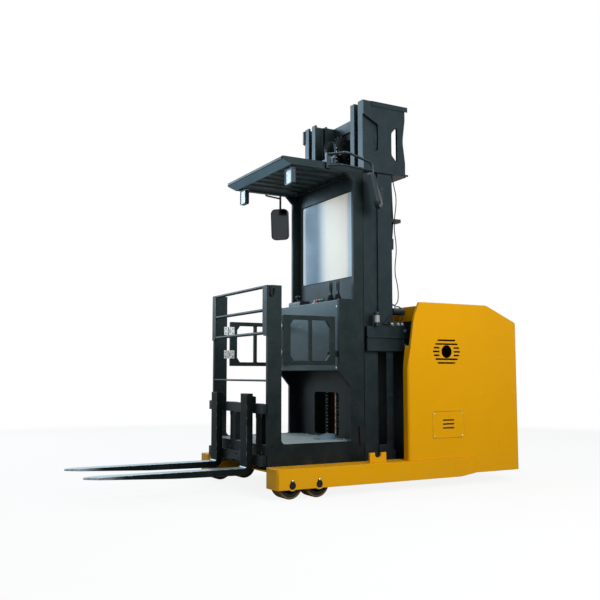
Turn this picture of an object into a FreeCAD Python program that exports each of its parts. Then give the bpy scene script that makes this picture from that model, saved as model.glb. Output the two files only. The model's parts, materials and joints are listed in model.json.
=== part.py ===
import FreeCAD, Part
import math
import os

# Stand-up order picker: straddle legs, a telescopic mast and a lifting operator's cab.
# Millimetres. +X is the truck's left side, -Y the way the forks point, +Z up. The origin lies on
# the floor, at the middle of the truck's overall length and width.

V = FreeCAD.Vector
os.makedirs("parts", exist_ok=True)

# ---- driving dimensions -------------------------------------------------------------------------
clear = 10.0              # running clearance between pieces that pass each other
seat = 0.5                # how far a welded piece is let into the one that carries it
edge_r = 3.0              # broken edge of bars and plates

# battery and drive body
body_half_w = 628.0
body_front_y = 564.0
body_rear_y = 1617.0
body_top_z = 1321.0
body_bottom_z = 82.0
panel_t = 22.0
front_fold_r = 24.0
rear_fold_r = 45.0
fold_return = 42.0
front_lean = 104.0        # how far the cowl's front edge leans back at its top
lean_knee = (54.0, 112.0)
lean_knee_r = 220.0
lean_drop = 460.0
lean_r = 900.0
hood_run = 320.0          # length of the sloping rear of the hood
hood_drop = 116.0
hood_inset = 20.0         # the hood lies this much below the cowls' edges
hood_t = 24.0
hood_front_set = 30.0
hood_lip = 195.0
hood_gap = 6.0
rear_return = 100.0
rear_panel_drop = 171.0

# vent in the side cowl: rows of slots about a round port
vent_back = 346.0
vent_drop = 355.0
port_r = 47.0
port_land = 18.0
slot_h = 12.0
slot_pitch = 27.5
slot_reach = (126.0, 118.0, 104.0, 83.0)

# service cover in the side cowl
cover_back = 209.0
cover_len = 289.0
cover_z = 343.0
cover_h = 191.0
cover_t = 4.0
cover_proud = 1.0
cover_gap = 1.5
cover_r = 12.0
louvre_back = 92.0
louvre_len = 105.0
louvre_z = 67.0
louvre_pitch = 28.0
louvre_h = 10.0

# chassis
base_plate_t = 18.0
foot_plate_back = 72.0    # the mast's foot plate starts this far ahead of the rails
bulkhead_back = 116.0
bulkhead_t = 12.0
bulkhead_top_z = 1190.0
bulkhead_r = 30.0
bulkhead_gap = 4.0
deck_z = 400.0
deck_t = 20.0
deck_wall_t = 12.0
battery_half_w = 400.0
battery_len = 240.0
battery_top_z = 780.0

# straddle legs
leg_outer_x = 643.0
leg_w = 169.0
leg_top_z = 196.0
leg_bottom_z = 64.0
leg_front_y = -492.0
leg_tail_y = 1147.0
leg_tail_slope = 130.0
leg_wall = 12.0
leg_deck_t = 10.0
leg_corner_r = 26.0
toe_reach = 224.0
toe_len = 130.0
toe_z = 165.0
toe_t = 8.0
mast_foot_half = 68.0
mast_foot_h = 68.0
mast_foot_t = 16.0
mast_foot_notch = 26.0
mast_foot_inset = 44.0

# load wheels, two in line in each leg
load_wheel_r = 90.0
load_wheel_w = 112.0
load_hub_r = 62.0
load_bore_r = 12.5
load_boss_r = 28.0
load_dish = 12.0
load_axle_y = (-378.0, -178.0)
axle_boss_r = 34.0
keeper_r = 17.0
keeper_neck = 12.0
keeper_depth = 8.0
tread_edge = 6.0
bore_fit = 0.05

# drive wheel and its steered unit
drive_wheel_r = 155.0
drive_wheel_w = 92.0
drive_hub_r = 112.0
drive_dish_r = 48.0
drive_dish = 22.0
drive_y = 1250.0
drive_axle_r = 30.0
drive_cheek_t = 62.0
drive_cheek_half = 95.0
drive_cheek_drop = 88.0
slew_ring_r = 120.0
slew_ring_t = 32.0
drive_neck_r = 58.0
motor_r = 105.0
motor_h = 230.0
arch_clear = 30.0

# mast rails
mast_half_w = 432.0
mast_front_y = 321.0
rail_depth = 116.0
rail_flange_w = 66.0
rail_flange_t = 18.0
rail_web_t = 14.0
mast_top_z = 2823.0
inner_gap = 48.0
inner_flange_w = 56.0
stiffener_out = 15.0
stiffener_depth = 126.0
stiffener_w = 52.0
stiffener_t = 14.0
foot_window_w = 66.0
foot_window_z = 300.0
root_r = 6.0
roller_r = 35.0
roller_pin_r = 14.0
roller_z = (60.0, 420.0)
roller_side = 6.0
tie_t = 22.0
inner_tie_z = ((138.0, 258.0), (1330.0, 1450.0))
top_tie_z = (2380.0, 2814.0)
top_tie_back = 75.0
top_band_h = 88.0
top_band_t = 14.0
top_side_t = 20.0
outer_tie_z = ((100.0, 260.0), (1000.0, 1110.0), (1720.0, 1800.0))
outer_tie_t = 14.0

# lift cylinder: the rod stands on the chassis, the barrel lifts the inner mast
cylinder_y = 365.0
rod_r = 25.0
rod_pad_r = 60.0
rod_pad_t = 24.0
barrel_r = 45.0
barrel_bore_r = 30.0
barrel_bottom_z = 705.0
barrel_top_z = 2480.0
barrel_head_t = 30.0
rod_short = 40.0
gland_h = 26.0
gland_lip = 5.0
gland_fit = 1.5
crosshead_t = 20.0
crosshead_half_w = 180.0

# lift chains and their sheaves
sheave_x = 73.0
sheave_z = 2570.0
sheave_pitch_r = 55.0
sheave_w = 30.0
sheave_rim = 9.0
sheave_pin_r = 12.0
sheave_cheek_t = 8.0
sheave_cheek_gap = 4.0
chain_w = 20.0
chain_h = 17.0
chain_waist = 10.0
chain_repeat = 50.8
chain_slot = 5.0
cab_anchor_z = 300.0
chassis_anchor_up = 60.0
anchor_h = 34.0
anchor_w = 32.0

# mast head box
head_bottom_z = 2280.0
head_rise = -9.0
head_rear_y = 680.0
head_front_set = 8.0
head_lip = 28.0
head_lip_out = 6.0
head_proud = 8.0          # the head's side plates stand this far outside the rails' stiffeners
head_lip_h = 36.0
head_lip_start = 70.0
head_sheet_t = 14.0
head_waist = 16.0
head_ear = 104.0
head_cut_depth = 130.0
head_cut_slope = 66.0
head_window_y = (118.0, 64.0)
head_window_z = (92.0, 160.0)
head_window_neck = 57.0

# mast support
beam_z = 969.0
beam_h = 177.0
beam_t = 24.0
beam_rib_out = 34.0
beam_rib_t = 10.0
beam_rib_z = 93.0
beam_flange_w = 46.0
beam_flange_t = 6.0

# hydraulics
filter_y = 390.0
filter_r = 20.0
filter_h = 52.0
filter_lid_r = 23.0
filter_lid_h = 22.0
filter_neck_r = 14.0
filter_neck_h = 26.0
filter_off = 22.0
accumulator_r = 26.0
accumulator_len = 100.0
accumulator_x = 420.0
accumulator_drop = 59.0
hose_count = 2
hose_r = 5.0
hose_bend = 24.0
hose_pitch = 12.0
hose_first_x = 372.0
hose_route = ((42.0, 2280.0), (42.0, 2220.0), (55.0, 1943.0), (30.0, 1650.0), (22.0, 1400.0), (34.0, 1190.0))
hose_in_z = 1140.0
clamp_z = 1930.0
clamp_h = 26.0
clamp_w = 64.0
clamp_depth = 98.0

# cab
cab_half_w = 464.0
cab_front_y = -471.0
cab_rear_y = 295.0
cab_bottom_z = 185.0
cab_wall = 25.0
floor_top_z = 335.0
floor_t = 12.0
sill_r = 34.0
sill_lip = 2.0
post_top_z = 1398.0
post_depth = 105.0
pillar_upper_front_y = 212.0
pillar_wide_front_y = 88.0
pillar_low_front_y = 183.0
pillar_step_low_z = 713.0
pillar_step_high_z = 825.0
pillar_gusset = 60.0
pillar_r = 14.0
strap_w = 64.0            # the strap on the post that takes the guard bars
strap_t = 8.0
strap_bottom_z = 1058.0
strap_foot = 20.0
hook_slot = (10.0, 45.0)
hook_slot_z = 1319.0
hook_slot_h = 60.0
foot_bracket_t = 12.0
foot_bracket_w = 49.0
foot_bracket_z = 310.0
foot_bracket_h = 145.0
platform_rib_x = (-220.0, 0.0, 220.0)
platform_rib_t = 10.0
platform_rib_gap = 40.0
rear_wall_y = 262.0
pane_half_w = 374.0
pane_bottom_z = 1505.0
pane_top_z = 2147.0
pane_t = 5.0
pane_set = 6.0
window_half_w = 178.0
window_bottom_z = 350.0
window_top_z = 668.0
window_r = 26.0
arm_x = 215.0
arm_t = 20.0
arm_z = (280.0, 720.0)
arm_reach = 130.0
arm_bevel = 40.0
cab_roller_z = (340.0, 660.0)

# operator's desk
console_front_y = 95.0
console_bottom_z = 828.0
console_top_z = 1329.0
console_t = 14.0
console_r = 6.0
lever_x = (243.0, 340.0)
lever_h = 144.0
lever_w = 32.0
lever_t = 14.0
boot_r = 26.0
boot_top_r = 11.0
boot_h = 44.0
button_x = (80.0, 132.0)
button_r = 13.0
button_h = 24.0
tiller_box = (-330.0, -150.0)
tiller_box_h = 36.0
tiller_box_set = 20.0
tiller_box_depth = 90.0
tiller_knob_r = 24.0
tiller_stem_r = 11.0
tiller_knob_h = 82.0
controls_back = 60.0
pedal_x = (150.0, 250.0)
pedal_len = 125.0
pedal_back = 77.0
pedal_h = 40.0
pedal_toe = 10.0

# overhead guard
roof_z = 2300.0
roof_h = 52.0
roof_front_y = -366.0
roof_nose = 24.0
roof_slope = 75.0
roof_side_w = 40.0
roof_rear_w = 60.0
roof_corner_r = 14.0
slat_count = 6
slat_w = 45.0
slat_h = 34.0
slat_drop = 6.0
slat_gusset = 26.0
slat_gusset_t = 6.0

# work lamps under the roof
lamp_x = 377.0
lamp_y = -272.0
lamp_w = 96.0
lamp_h = 112.0
lamp_depth = 34.0
lamp_r = 10.0
lamp_rim = 8.0
lamp_dish = 4.0
lamp_bracket_t = 5.0
lamp_bracket_h = 10.0

# mirrors
mirror_w = 150.0
mirror_h = 256.0
mirror_t = 50.0
mirror_r = 38.0
mirror_bevel = 22.0
mirror_rim = 7.0
mirror_glass_set = 3.0
mirror_arm_r = 9.0
mirror_brace_r = 7.0
mirror_bend = 45.0
mirror_bracket_y = -5.0
mirror_bracket_w = 34.0
mirror_bracket_t = 22.0
mirror_bracket_up = 62.0
mirror_left = (552.0, 316.0, 2107.0)
mirror_left_turn = (-44.0, 13.0)
mirror_right = (560.0, 150.0, 2036.0)
mirror_right_turn = (-40.0, 5.0)
mirror_grip = 0.3          # the arm grips the shell this far up its height

# front guard
guard_bar_z = (1390.0, 1232.0, 1078.0)
guard_bar_r = 11.0
low_bar_z = 760.0
low_bar_r = 7.0

# fork carriage and forks
carriage_t = 30.0
carriage_half_w = 455.0
carriage_low_z = 198.0
carriage_low_h = 70.0
carriage_high_z = 540.0
carriage_high_h = 66.0
carriage_plate_x = (-130.0, 293.0)
carriage_plate_w = 85.0
carriage_plate_depth = 60.0
carriage_notch_x = -32.0
carriage_notch_w = 120.0
carriage_notch_h = 8.0
carriage_hole_x = 36.0
carriage_hole_r = 9.0
fork_length = 1070.0
fork_w = 100.0
fork_t = 45.0
fork_outer_x = 305.0
fork_top_z = 176.0
fork_shank_top_z = 672.0
fork_heel_r = 60.0
fork_tip_t = 12.0
fork_taper_len = 500.0
fork_taper_t = 38.0
fork_tip_run = 90.0
fork_tip_w = 28.0
fork_hook_drop = 16.0
fork_hook_slope = 6.0

# gates
gate_bottom_z = 865.0
gate_top_z = 1205.0
gate_x = 434.0
gate_t = 20.0
gate_end_gap = 20.0
gate_stile = 57.0
gate_rail = 30.0
gate_bar_w = 24.0
gate_bar_back = 203.0
gate_rear_stile = 40.0
gate_chamfer = (24.0, 34.0)
gate_rear_chamfer = (30.0, 48.0)
gate_corner_r = 6.0
hinge_r = 6.0
hinge_pin_r = 3.0
hinge_fit = 0.2
hinge_h = 62.0
hinge_leaf_t = 3.0
hinge_leaf_w = 32.0
hinge_low = 58.0
hinge_high = 238.0
hinge_joint = 1.0
hinge_set = 12.0          # the hinge pin stands this far behind the post
latch_len = 46.0
latch_h = 26.0
latch_t = 12.0
latch_up = 66.0
catch_t = 6.0
catch_h = 44.0


# ---- helpers --------------------------------------------------------------------------------------
AXES = {"x": V(1, 0, 0), "y": V(0, 1, 0), "z": V(0, 0, 1)}


def box(x0, x1, y0, y1, z0, z1):
    return Part.makeBox(x1 - x0, y1 - y0, z1 - z0, V(x0, y0, z0))


def to_space(axis, u, v, w):
    if axis == "x":
        return V(w, u, v)
    if axis == "y":
        return V(u, w, v)
    return V(u, v, w)


def outline(axis, points, w):
    """A closed wire in the plane axis = w. A point is (u, v) or (u, v, corner radius)."""
    count = len(points)
    ends = []
    for i in range(count):
        before = points[i - 1]
        here = points[i]
        after = points[(i + 1) % count]
        p = V(here[0], here[1], 0)
        radius = here[2] if len(here) > 2 else 0.0
        if radius <= 0:
            ends.append((p, None, p))
            continue
        to_before = V(before[0] - here[0], before[1] - here[1], 0).normalize()
        to_after = V(after[0] - here[0], after[1] - here[1], 0).normalize()
        half = to_before.getAngle(to_after) / 2.0
        reach = radius / math.tan(half)
        middle = (to_before + to_after).normalize()
        centre = p + middle * (radius / math.sin(half))
        ends.append((p + to_before * reach, centre - middle * radius, p + to_after * reach))
    edges = []
    for i in range(count):
        start, mid, stop = ends[i]
        if mid is not None:
            arc = [to_space(axis, q.x, q.y, w) for q in (start, mid, stop)]
            edges.append(Part.Arc(*arc).toShape())
        following = ends[(i + 1) % count][0]
        if stop.distanceToPoint(following) > 1e-6:
            a = to_space(axis, stop.x, stop.y, w)
            b = to_space(axis, following.x, following.y, w)
            edges.append(Part.makeLine(a, b))
    return Part.Wire(edges)


def slab(axis, points, low, high, holes=()):
    """A plate: the outline extruded from low to high along the axis, less its holes."""
    solid = Part.Face(outline(axis, points, low)).extrude(AXES[axis] * (high - low))
    for hole in holes:
        cutter = Part.Face(outline(axis, hole, low - 1)).extrude(AXES[axis] * (high - low + 2))
        solid = solid.cut(cutter)
    return solid


def rect(u0, u1, v0, v1, r=0.0):
    return [(u0, v0, r), (u1, v0, r), (u1, v1, r), (u0, v1, r)]


def rod(axis, centre, radius, length, bore=0.0):
    """A round bar from centre along the axis, with a bore if one is given."""
    bar = Part.makeCylinder(radius, length, V(*centre), AXES[axis])
    if bore > 0:
        bar = bar.cut(Part.makeCylinder(bore, length, V(*centre), AXES[axis]))
    return bar


def turned_x(y, z, section):
    """A body turned about a line along X through y, z. A point of the section is (x, radius)."""
    points = [(x, z + radius) for x, radius in section]
    return Part.Face(outline("y", points, y)).revolve(V(0, y, z), V(1, 0, 0), 360)


def bent_tube(points, radius, bend):
    """A round tube along straight runs joined by tangent arcs."""
    path = []
    last = V(*points[0])
    for i in range(1, len(points) - 1):
        here = V(*points[i])
        back = (V(*points[i - 1]) - here).normalize()
        on = (V(*points[i + 1]) - here).normalize()
        half = back.getAngle(on) / 2.0
        reach = bend / math.tan(half)
        middle = (back + on).normalize()
        centre = here + middle * (bend / math.sin(half))
        start = here + back * reach
        stop = here + on * reach
        path.append(Part.makeLine(last, start))
        path.append(Part.Arc(start, centre - middle * bend, stop).toShape())
        last = stop
    path.append(Part.makeLine(last, V(*points[-1])))
    way = (V(*points[1]) - V(*points[0])).normalize()
    ring = Part.Wire([Part.makeCircle(radius, V(*points[0]), way)])
    return Part.Wire(path).makePipeShell([ring], True, True)


def mirror_x(shape):
    return shape.mirror(V(0, 0, 0), V(1, 0, 0))


def both_sides(shape):
    return [shape, mirror_x(shape)]


def join(shapes):
    if len(shapes) == 1:
        return shapes[0]
    return shapes[0].fuse(shapes[1:]).removeSplitter()


def save(name, shape):
    shape.exportStep("parts/" + name + ".step")


def save_all(name, shapes):
    save(name, Part.makeCompound(shapes))


def save_pair(name, left):
    save(name + "_left", left)
    save(name + "_right", mirror_x(left))


# ---- straddle legs --------------------------------------------------------------------------------
leg_inner_x = leg_outer_x - leg_w
load_axle_z = load_wheel_r
wheel_mid_x = leg_outer_x - leg_w / 2.0
mast_foot_y = mast_front_y - 4.0


def keeper_pocket(y):
    """The axle keeper's pocket in the outer plate: a round well with a narrow neck above."""
    start = leg_outer_x - keeper_depth
    well = rod("x", (start, y, load_axle_z), keeper_r, keeper_depth + 1)
    neck = box(start, leg_outer_x + 1, y - keeper_neck / 2, y + keeper_neck / 2,
               load_axle_z, load_axle_z + 2 * keeper_r)
    return well.fuse(neck)


def leg():
    """A box beam whose tail rises to the body's underside, with a bay and bosses for two wheels."""
    tail_low = leg_tail_y - leg_tail_slope
    profile = [(leg_front_y, leg_bottom_z), (tail_low, leg_bottom_z), (leg_tail_y, body_bottom_z),
               (leg_tail_y, leg_top_z), (leg_front_y, leg_top_z)]
    solid = slab("x", profile, leg_inner_x, leg_outer_x)
    for y in load_axle_y:
        solid = solid.fuse(rod("x", (leg_inner_x, y, load_axle_z), axle_boss_r, leg_w))
    front = []
    for edge in solid.Edges:
        bounds = edge.BoundBox
        if bounds.YMax < leg_front_y + 0.1 and bounds.ZLength > (leg_top_z - leg_bottom_z) / 2:
            front.append(edge)
    solid = solid.makeFillet(leg_corner_r, front)
    bay_front = load_axle_y[0] - load_wheel_r - clear
    bay_rear = load_axle_y[1] + load_wheel_r + clear
    solid = solid.cut(box(leg_inner_x + leg_wall, leg_outer_x - leg_wall, bay_front, bay_rear,
                          0, leg_top_z - leg_deck_t))
    pins = []
    for y in load_axle_y:
        solid = solid.cut(keeper_pocket(y))
        pin_x = leg_inner_x + leg_wall / 2
        pins.append(rod("x", (pin_x, y, load_axle_z), load_bore_r, leg_w - leg_wall))
    return join([solid] + pins)


def toe_plate():
    """The thin deflector that slopes in from the front of the leg."""
    root = leg_inner_x
    front = leg_front_y + 6.0
    return slab("z", [(root, front), (root, front + toe_len), (root - toe_reach * 0.6, front + toe_len * 0.7),
                      (root - toe_reach, front)], toe_z, toe_z + toe_t)


def mast_foot():
    """The notched plate on the leg that steadies the foot of the mast."""
    top = leg_top_z + mast_foot_h
    bed = top - mast_foot_notch - 12.0
    y = mast_foot_y
    n = mast_foot_notch
    half = mast_foot_half
    points = [(y - half, leg_top_z), (y + half, leg_top_z), (y + half, top), (y + n, top),
              (y + n, bed + n / 2, n * 0.6), (y, bed, n * 0.6), (y - n, bed + n / 2, n * 0.6),
              (y - n, top), (y - half, top)]
    outer = leg_outer_x - mast_foot_inset
    return slab("x", points, outer - mast_foot_t, outer)


save_pair("leg", leg())
save_all("leg_brackets", both_sides(toe_plate()) + both_sides(mast_foot()))


# ---- load wheels ----------------------------------------------------------------------------------
def load_wheel(y):
    x0 = wheel_mid_x - load_wheel_w / 2.0
    x1 = x0 + load_wheel_w
    bore = load_bore_r + bore_fit
    rim = load_hub_r - 8.0
    hub = turned_x(y, load_axle_z, [(x0, bore), (x0, load_boss_r), (x0 + load_dish, load_boss_r + 4),
                                    (x0 + load_dish, rim - 6), (x0, rim), (x0, load_hub_r),
                                    (x1, load_hub_r), (x1, rim), (x1 - load_dish, rim - 6),
                                    (x1 - load_dish, load_boss_r + 4), (x1, load_boss_r), (x1, bore)])
    e = tread_edge
    tread = turned_x(y, load_axle_z, [(x0, load_hub_r), (x0, load_wheel_r - e), (x0 + e, load_wheel_r),
                                      (x1 - e, load_wheel_r), (x1, load_wheel_r - e), (x1, load_hub_r)])
    return hub, tread


for label, y in zip(("front", "rear"), load_axle_y):
    hub, tread = load_wheel(y)
    save_pair("load_hub_" + label, hub)
    save_pair("load_tread_" + label, tread)

# ---- chassis frame: base plate, drive deck and its cross walls ------------------------------------
base_top_z = body_bottom_z + base_plate_t
bulkhead_y = body_front_y + bulkhead_back
cheek_x = drive_wheel_w / 2.0 + clear
steer_reach = math.hypot(drive_wheel_r, cheek_x + drive_cheek_t)
arch_r = steer_reach + arch_clear
deck_half = steer_reach + clear + deck_wall_t
frame_half_w = body_half_w - panel_t - 1.0
frame_rear_y = body_rear_y - panel_t
frame_corner_r = rear_fold_r - panel_t + edge_r
base_front_y = mast_front_y - foot_plate_back
base_flare_y = bulkhead_y + 24.0
base_flare = frame_half_w - leg_inner_x


def leg_room(y0, y1):
    """Room for both legs between y0 and y1."""
    rooms = []
    for side in (1, -1):
        lo, hi = sorted((side * leg_inner_x, side * (leg_outer_x + 1)))
        rooms.append(box(lo, hi, y0, y1, 0, leg_top_z))
    return rooms


def chassis_frame():
    mouth = [(-leg_inner_x, base_front_y), (leg_inner_x, base_front_y), (leg_inner_x, base_flare_y),
             (frame_half_w, base_flare_y + base_flare), (frame_half_w, frame_rear_y, frame_corner_r),
             (-frame_half_w, frame_rear_y, frame_corner_r), (-frame_half_w, base_flare_y + base_flare),
             (-leg_inner_x, base_flare_y)]
    base = slab("z", mouth, body_bottom_z, base_top_z)
    base = base.cut(rod("z", (0, drive_y, 0), arch_r, deck_z))
    deck = box(-frame_half_w, frame_half_w, drive_y - deck_half, drive_y + deck_half, deck_z, deck_z + deck_t)
    deck = deck.cut(rod("z", (0, drive_y, 0), drive_neck_r + clear / 2, 2 * deck_z))
    front = drive_y - deck_half
    rear = drive_y + deck_half - deck_wall_t
    walls = [box(-frame_half_w, frame_half_w, y, y + deck_wall_t, base_top_z, deck_z) for y in (front, rear)]
    return join([base, deck] + walls).cut(leg_room(bulkhead_y, leg_tail_y + 1))


def bulkhead():
    half_w = body_half_w - panel_t - bulkhead_gap
    plate = slab("y", rect(-half_w, half_w, base_top_z, bulkhead_top_z, bulkhead_r),
                 bulkhead_y, bulkhead_y + bulkhead_t)
    return plate.cut(leg_room(bulkhead_y - 1, bulkhead_y + bulkhead_t + 1))


battery_y = bulkhead_y + bulkhead_t + 2 * clear
save("chassis_frame", chassis_frame())
save("bulkhead", bulkhead())
save("battery_block", box(-battery_half_w, battery_half_w, battery_y, battery_y + battery_len,
                          base_top_z, battery_top_z))


# ---- body panels ----------------------------------------------------------------------------------
def cowl_plan(inset, reach):
    """The side cowl in plan: a straight side with rounded ends that turn in towards the truck."""
    x = body_half_w - inset
    fold = front_fold_r - inset
    return [(x - fold - fold_return - reach, body_front_y + inset), (x, body_front_y + inset, fold),
            (x, body_rear_y - inset, rear_fold_r - inset), (x - rear_return - reach, body_rear_y - inset)]


vent_y = body_front_y + vent_back
vent_z = body_top_z - vent_drop
cover_y0 = body_front_y + cover_back
cover_y1 = cover_y0 + cover_len
hood_break_y = body_rear_y - hood_run
hood_low_z = body_top_z - hood_drop


def vent_cutters():
    """Seven rows of slots about a round port; the rows beside the port are split in two."""
    low = body_half_w - 2 * panel_t
    high = body_half_w + panel_t
    cutters = [rod("x", (low, vent_y, vent_z), port_r, high - low)]
    for row in range(-3, 4):
        z = vent_z + row * slot_pitch
        out = slot_reach[abs(row)]
        spans = [(-out, out)]
        if abs(row) < 2:
            spans = [(-out, -port_r - port_land), (port_r + port_land, out)]
        for a, b in spans:
            points = rect(vent_y + a, vent_y + b, z - slot_h / 2, z + slot_h / 2, slot_h / 2 - 0.5)
            cutters.append(slab("x", points, low, high))
    return cutters


def cowl():
    """The folded side panel: a shell in plan, cut to the leaning front edge and the sloping rear."""
    height = body_top_z + panel_t
    outer = Part.Face(outline("z", cowl_plan(0, 0), 0)).extrude(V(0, 0, height))
    inner = Part.Face(outline("z", cowl_plan(panel_t, rear_return), 0)).extrude(V(0, 0, height))
    side = [(body_front_y - 1, body_bottom_z), (body_rear_y + 1, body_bottom_z),
            (body_rear_y + 1, hood_low_z - 20, 30), (hood_break_y, body_top_z, 60),
            (body_front_y + front_lean, body_top_z, 12),
            (body_front_y + lean_knee[0], body_top_z - lean_knee[1], lean_knee_r),
            (body_front_y - 1, body_top_z - lean_drop, lean_r)]
    shell = outer.cut(inner).common(slab("x", side, 0, body_half_w + 1))
    recess = slab("x", rect(cover_y0, cover_y1, cover_z, cover_z + cover_h, cover_r),
                  body_half_w - cover_t, body_half_w + 1)
    louvre_y = cover_y0 + louvre_back
    louvre_hole = box(body_half_w - panel_t - 1, body_half_w, louvre_y - clear, louvre_y + louvre_len + clear,
                      cover_z + louvre_z - clear, cover_z + louvre_z + 2 * louvre_pitch + louvre_h + clear)
    leg_bed = box(leg_inner_x, leg_outer_x + 1, body_front_y - 1, leg_tail_y + clear, 0, leg_top_z)
    return shell.cut(vent_cutters() + [recess, louvre_hole, leg_bed])


def service_cover():
    g = cover_gap
    plate = slab("x", rect(cover_y0 + g, cover_y1 - g, cover_z + g, cover_z + cover_h - g, cover_r - g),
                 body_half_w - cover_t, body_half_w + cover_proud)
    slots = []
    for row in range(3):
        z = cover_z + louvre_z + row * louvre_pitch
        points = rect(cover_y0 + louvre_back, cover_y0 + louvre_back + louvre_len, z, z + louvre_h,
                      louvre_h / 2 - 0.5)
        slots.append(slab("x", points, body_half_w - panel_t, body_half_w + panel_t))
    return plate.cut(slots)


def top_cover():
    """The hood between the cowls: a front lip, the flat top and the sloping rear."""
    half_w = body_half_w - panel_t - hood_gap
    top = body_top_z - hood_inset
    low = hood_low_z - hood_inset + 9.0
    rear = body_rear_y - panel_t - clear + 2.0
    front = body_front_y + front_lean + hood_front_set
    profile = [(front, top - hood_t - hood_lip), (front + hood_t / 2, top - hood_t - hood_lip),
               (front + hood_t / 2, top - hood_t), (hood_break_y, top - hood_t), (rear, low - hood_t),
               (rear, low, 10), (hood_break_y, top, 30), (front, top, 8)]
    return slab("x", profile, -half_w, half_w)


save_pair("cowl", cowl())
save_all("service_covers", both_sides(service_cover()))
save("top_cover", top_cover())
rear_panel_half_w = body_half_w - rear_return - 2.0
save("rear_panel", slab("y", rect(-rear_panel_half_w, rear_panel_half_w, body_bottom_z,
                                  body_top_z - rear_panel_drop, 2 * edge_r),
                        body_rear_y - panel_t, body_rear_y - 2))


# ---- drive unit: steered housing with its motor, wheel beside its cheek ---------------------------
def drive_unit():
    ring_z = deck_z - clear - slew_ring_t
    ring = rod("z", (0, drive_y, ring_z), slew_ring_r, slew_ring_t)
    neck = rod("z", (0, drive_y, ring_z), drive_neck_r, deck_z + deck_t + 2 * clear - ring_z)
    motor = rod("z", (0, drive_y, deck_z + deck_t + clear), motor_r, motor_h)
    half = drive_cheek_half
    foot_z = drive_wheel_r - drive_cheek_drop
    cheek = slab("x", [(drive_y - half, ring_z + seat), (drive_y - half, drive_wheel_r, half * 0.6),
                       (drive_y - half * 0.4, foot_z, half * 0.5), (drive_y + half * 0.4, foot_z, half * 0.5),
                       (drive_y + half, drive_wheel_r, half * 0.6), (drive_y + half, ring_z + seat)],
                 cheek_x, cheek_x + drive_cheek_t)
    axle_end = drive_wheel_w / 2.0
    axle = rod("x", (-axle_end, drive_y, drive_wheel_r), drive_axle_r, cheek_x + axle_end + 1)
    bridge = box(-drive_neck_r, cheek_x + drive_cheek_t, drive_y - half * 0.85, drive_y + half * 0.85,
                 2 * drive_wheel_r + clear, ring_z + seat)
    return join([ring, neck, motor, cheek, axle, bridge])


def drive_wheel():
    x1 = drive_wheel_w / 2.0
    x0 = -x1
    rim = drive_hub_r - 14.0
    hub = turned_x(drive_y, drive_wheel_r, [(x0, drive_axle_r + bore_fit), (x0, drive_dish_r),
                                            (x0 + drive_dish, drive_dish_r), (x0 + drive_dish, rim),
                                            (x0, rim), (x0, drive_hub_r), (x1, drive_hub_r),
                                            (x1, drive_axle_r + bore_fit)])
    e = tread_edge
    tyre = turned_x(drive_y, drive_wheel_r, [(x0, drive_hub_r), (x0, drive_wheel_r - e),
                                             (x0 + e, drive_wheel_r), (x1 - e, drive_wheel_r),
                                             (x1, drive_wheel_r - e), (x1, drive_hub_r)])
    return hub, tyre


save("drive_unit", drive_unit())
drive_hub, drive_tyre = drive_wheel()
save("drive_hub", drive_hub)
save("drive_tyre", drive_tyre)

# ---- mast: fixed outer rails ----------------------------------------------------------------------
mast_rear_y = mast_front_y + rail_depth
stiffener_rear_y = mast_rear_y + stiffener_depth
flange_in_x = mast_half_w - rail_flange_w
web_in_x = mast_half_w - rail_web_t
frame_out_x = mast_half_w + stiffener_out


def outer_rail():
    """A channel that opens inwards, with an angle stiffener along its rear."""
    f = rail_flange_t
    toe = frame_out_x - stiffener_w
    section = [(flange_in_x, mast_front_y, edge_r), (mast_half_w, mast_front_y, edge_r),
               (mast_half_w, mast_rear_y), (frame_out_x, mast_rear_y),
               (frame_out_x, stiffener_rear_y, edge_r), (toe, stiffener_rear_y, edge_r),
               (toe, stiffener_rear_y - stiffener_t),
               (frame_out_x - stiffener_t, stiffener_rear_y - stiffener_t),
               (frame_out_x - stiffener_t, mast_rear_y + 0.01), (flange_in_x, mast_rear_y, edge_r),
               (flange_in_x, mast_rear_y - f, edge_r), (web_in_x, mast_rear_y - f, root_r),
               (web_in_x, mast_front_y + f, root_r), (flange_in_x, mast_front_y + f, edge_r)]
    rail = slab("z", section, base_top_z, mast_top_z)
    head_seat = box(mast_half_w, frame_out_x + 1, mast_rear_y - 1, stiffener_rear_y + 1,
                    head_bottom_z, mast_top_z + 1)
    window = slab("x", rect(mast_rear_y, mast_rear_y + foot_window_w, foot_window_z, beam_z - edge_r, edge_r),
                  flange_in_x - 1, frame_out_x + 1)
    return rail.cut([head_seat, window])


save_pair("outer_rail", outer_rail())

# ---- mast: moving inner rails ---------------------------------------------------------------------
inner_out_x = flange_in_x - inner_gap
inner_in_x = inner_out_x - inner_flange_w
inner_web_x = inner_out_x - rail_web_t
inner_bottom_z = base_top_z + clear
rail_mid_y = mast_front_y + rail_depth / 2.0


def inner_rail():
    f = rail_flange_t
    section = [(inner_in_x, mast_front_y, edge_r), (inner_out_x, mast_front_y, edge_r),
               (inner_out_x, mast_rear_y, edge_r), (inner_in_x, mast_rear_y, edge_r),
               (inner_in_x, mast_rear_y - f, edge_r), (inner_web_x, mast_rear_y - f, root_r),
               (inner_web_x, mast_front_y + f, root_r), (inner_in_x, mast_front_y + f, edge_r)]
    pieces = [slab("z", section, inner_bottom_z, mast_top_z)]
    tyre_x = flange_in_x + roller_side
    for up in roller_z:
        z = inner_bottom_z + up
        pieces.append(rod("x", (inner_out_x - seat, rail_mid_y, z), roller_pin_r, tyre_x - inner_out_x + 1))
        pieces.append(rod("x", (tyre_x, rail_mid_y, z), roller_r, web_in_x - roller_side - tyre_x))
    return join(pieces)


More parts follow.
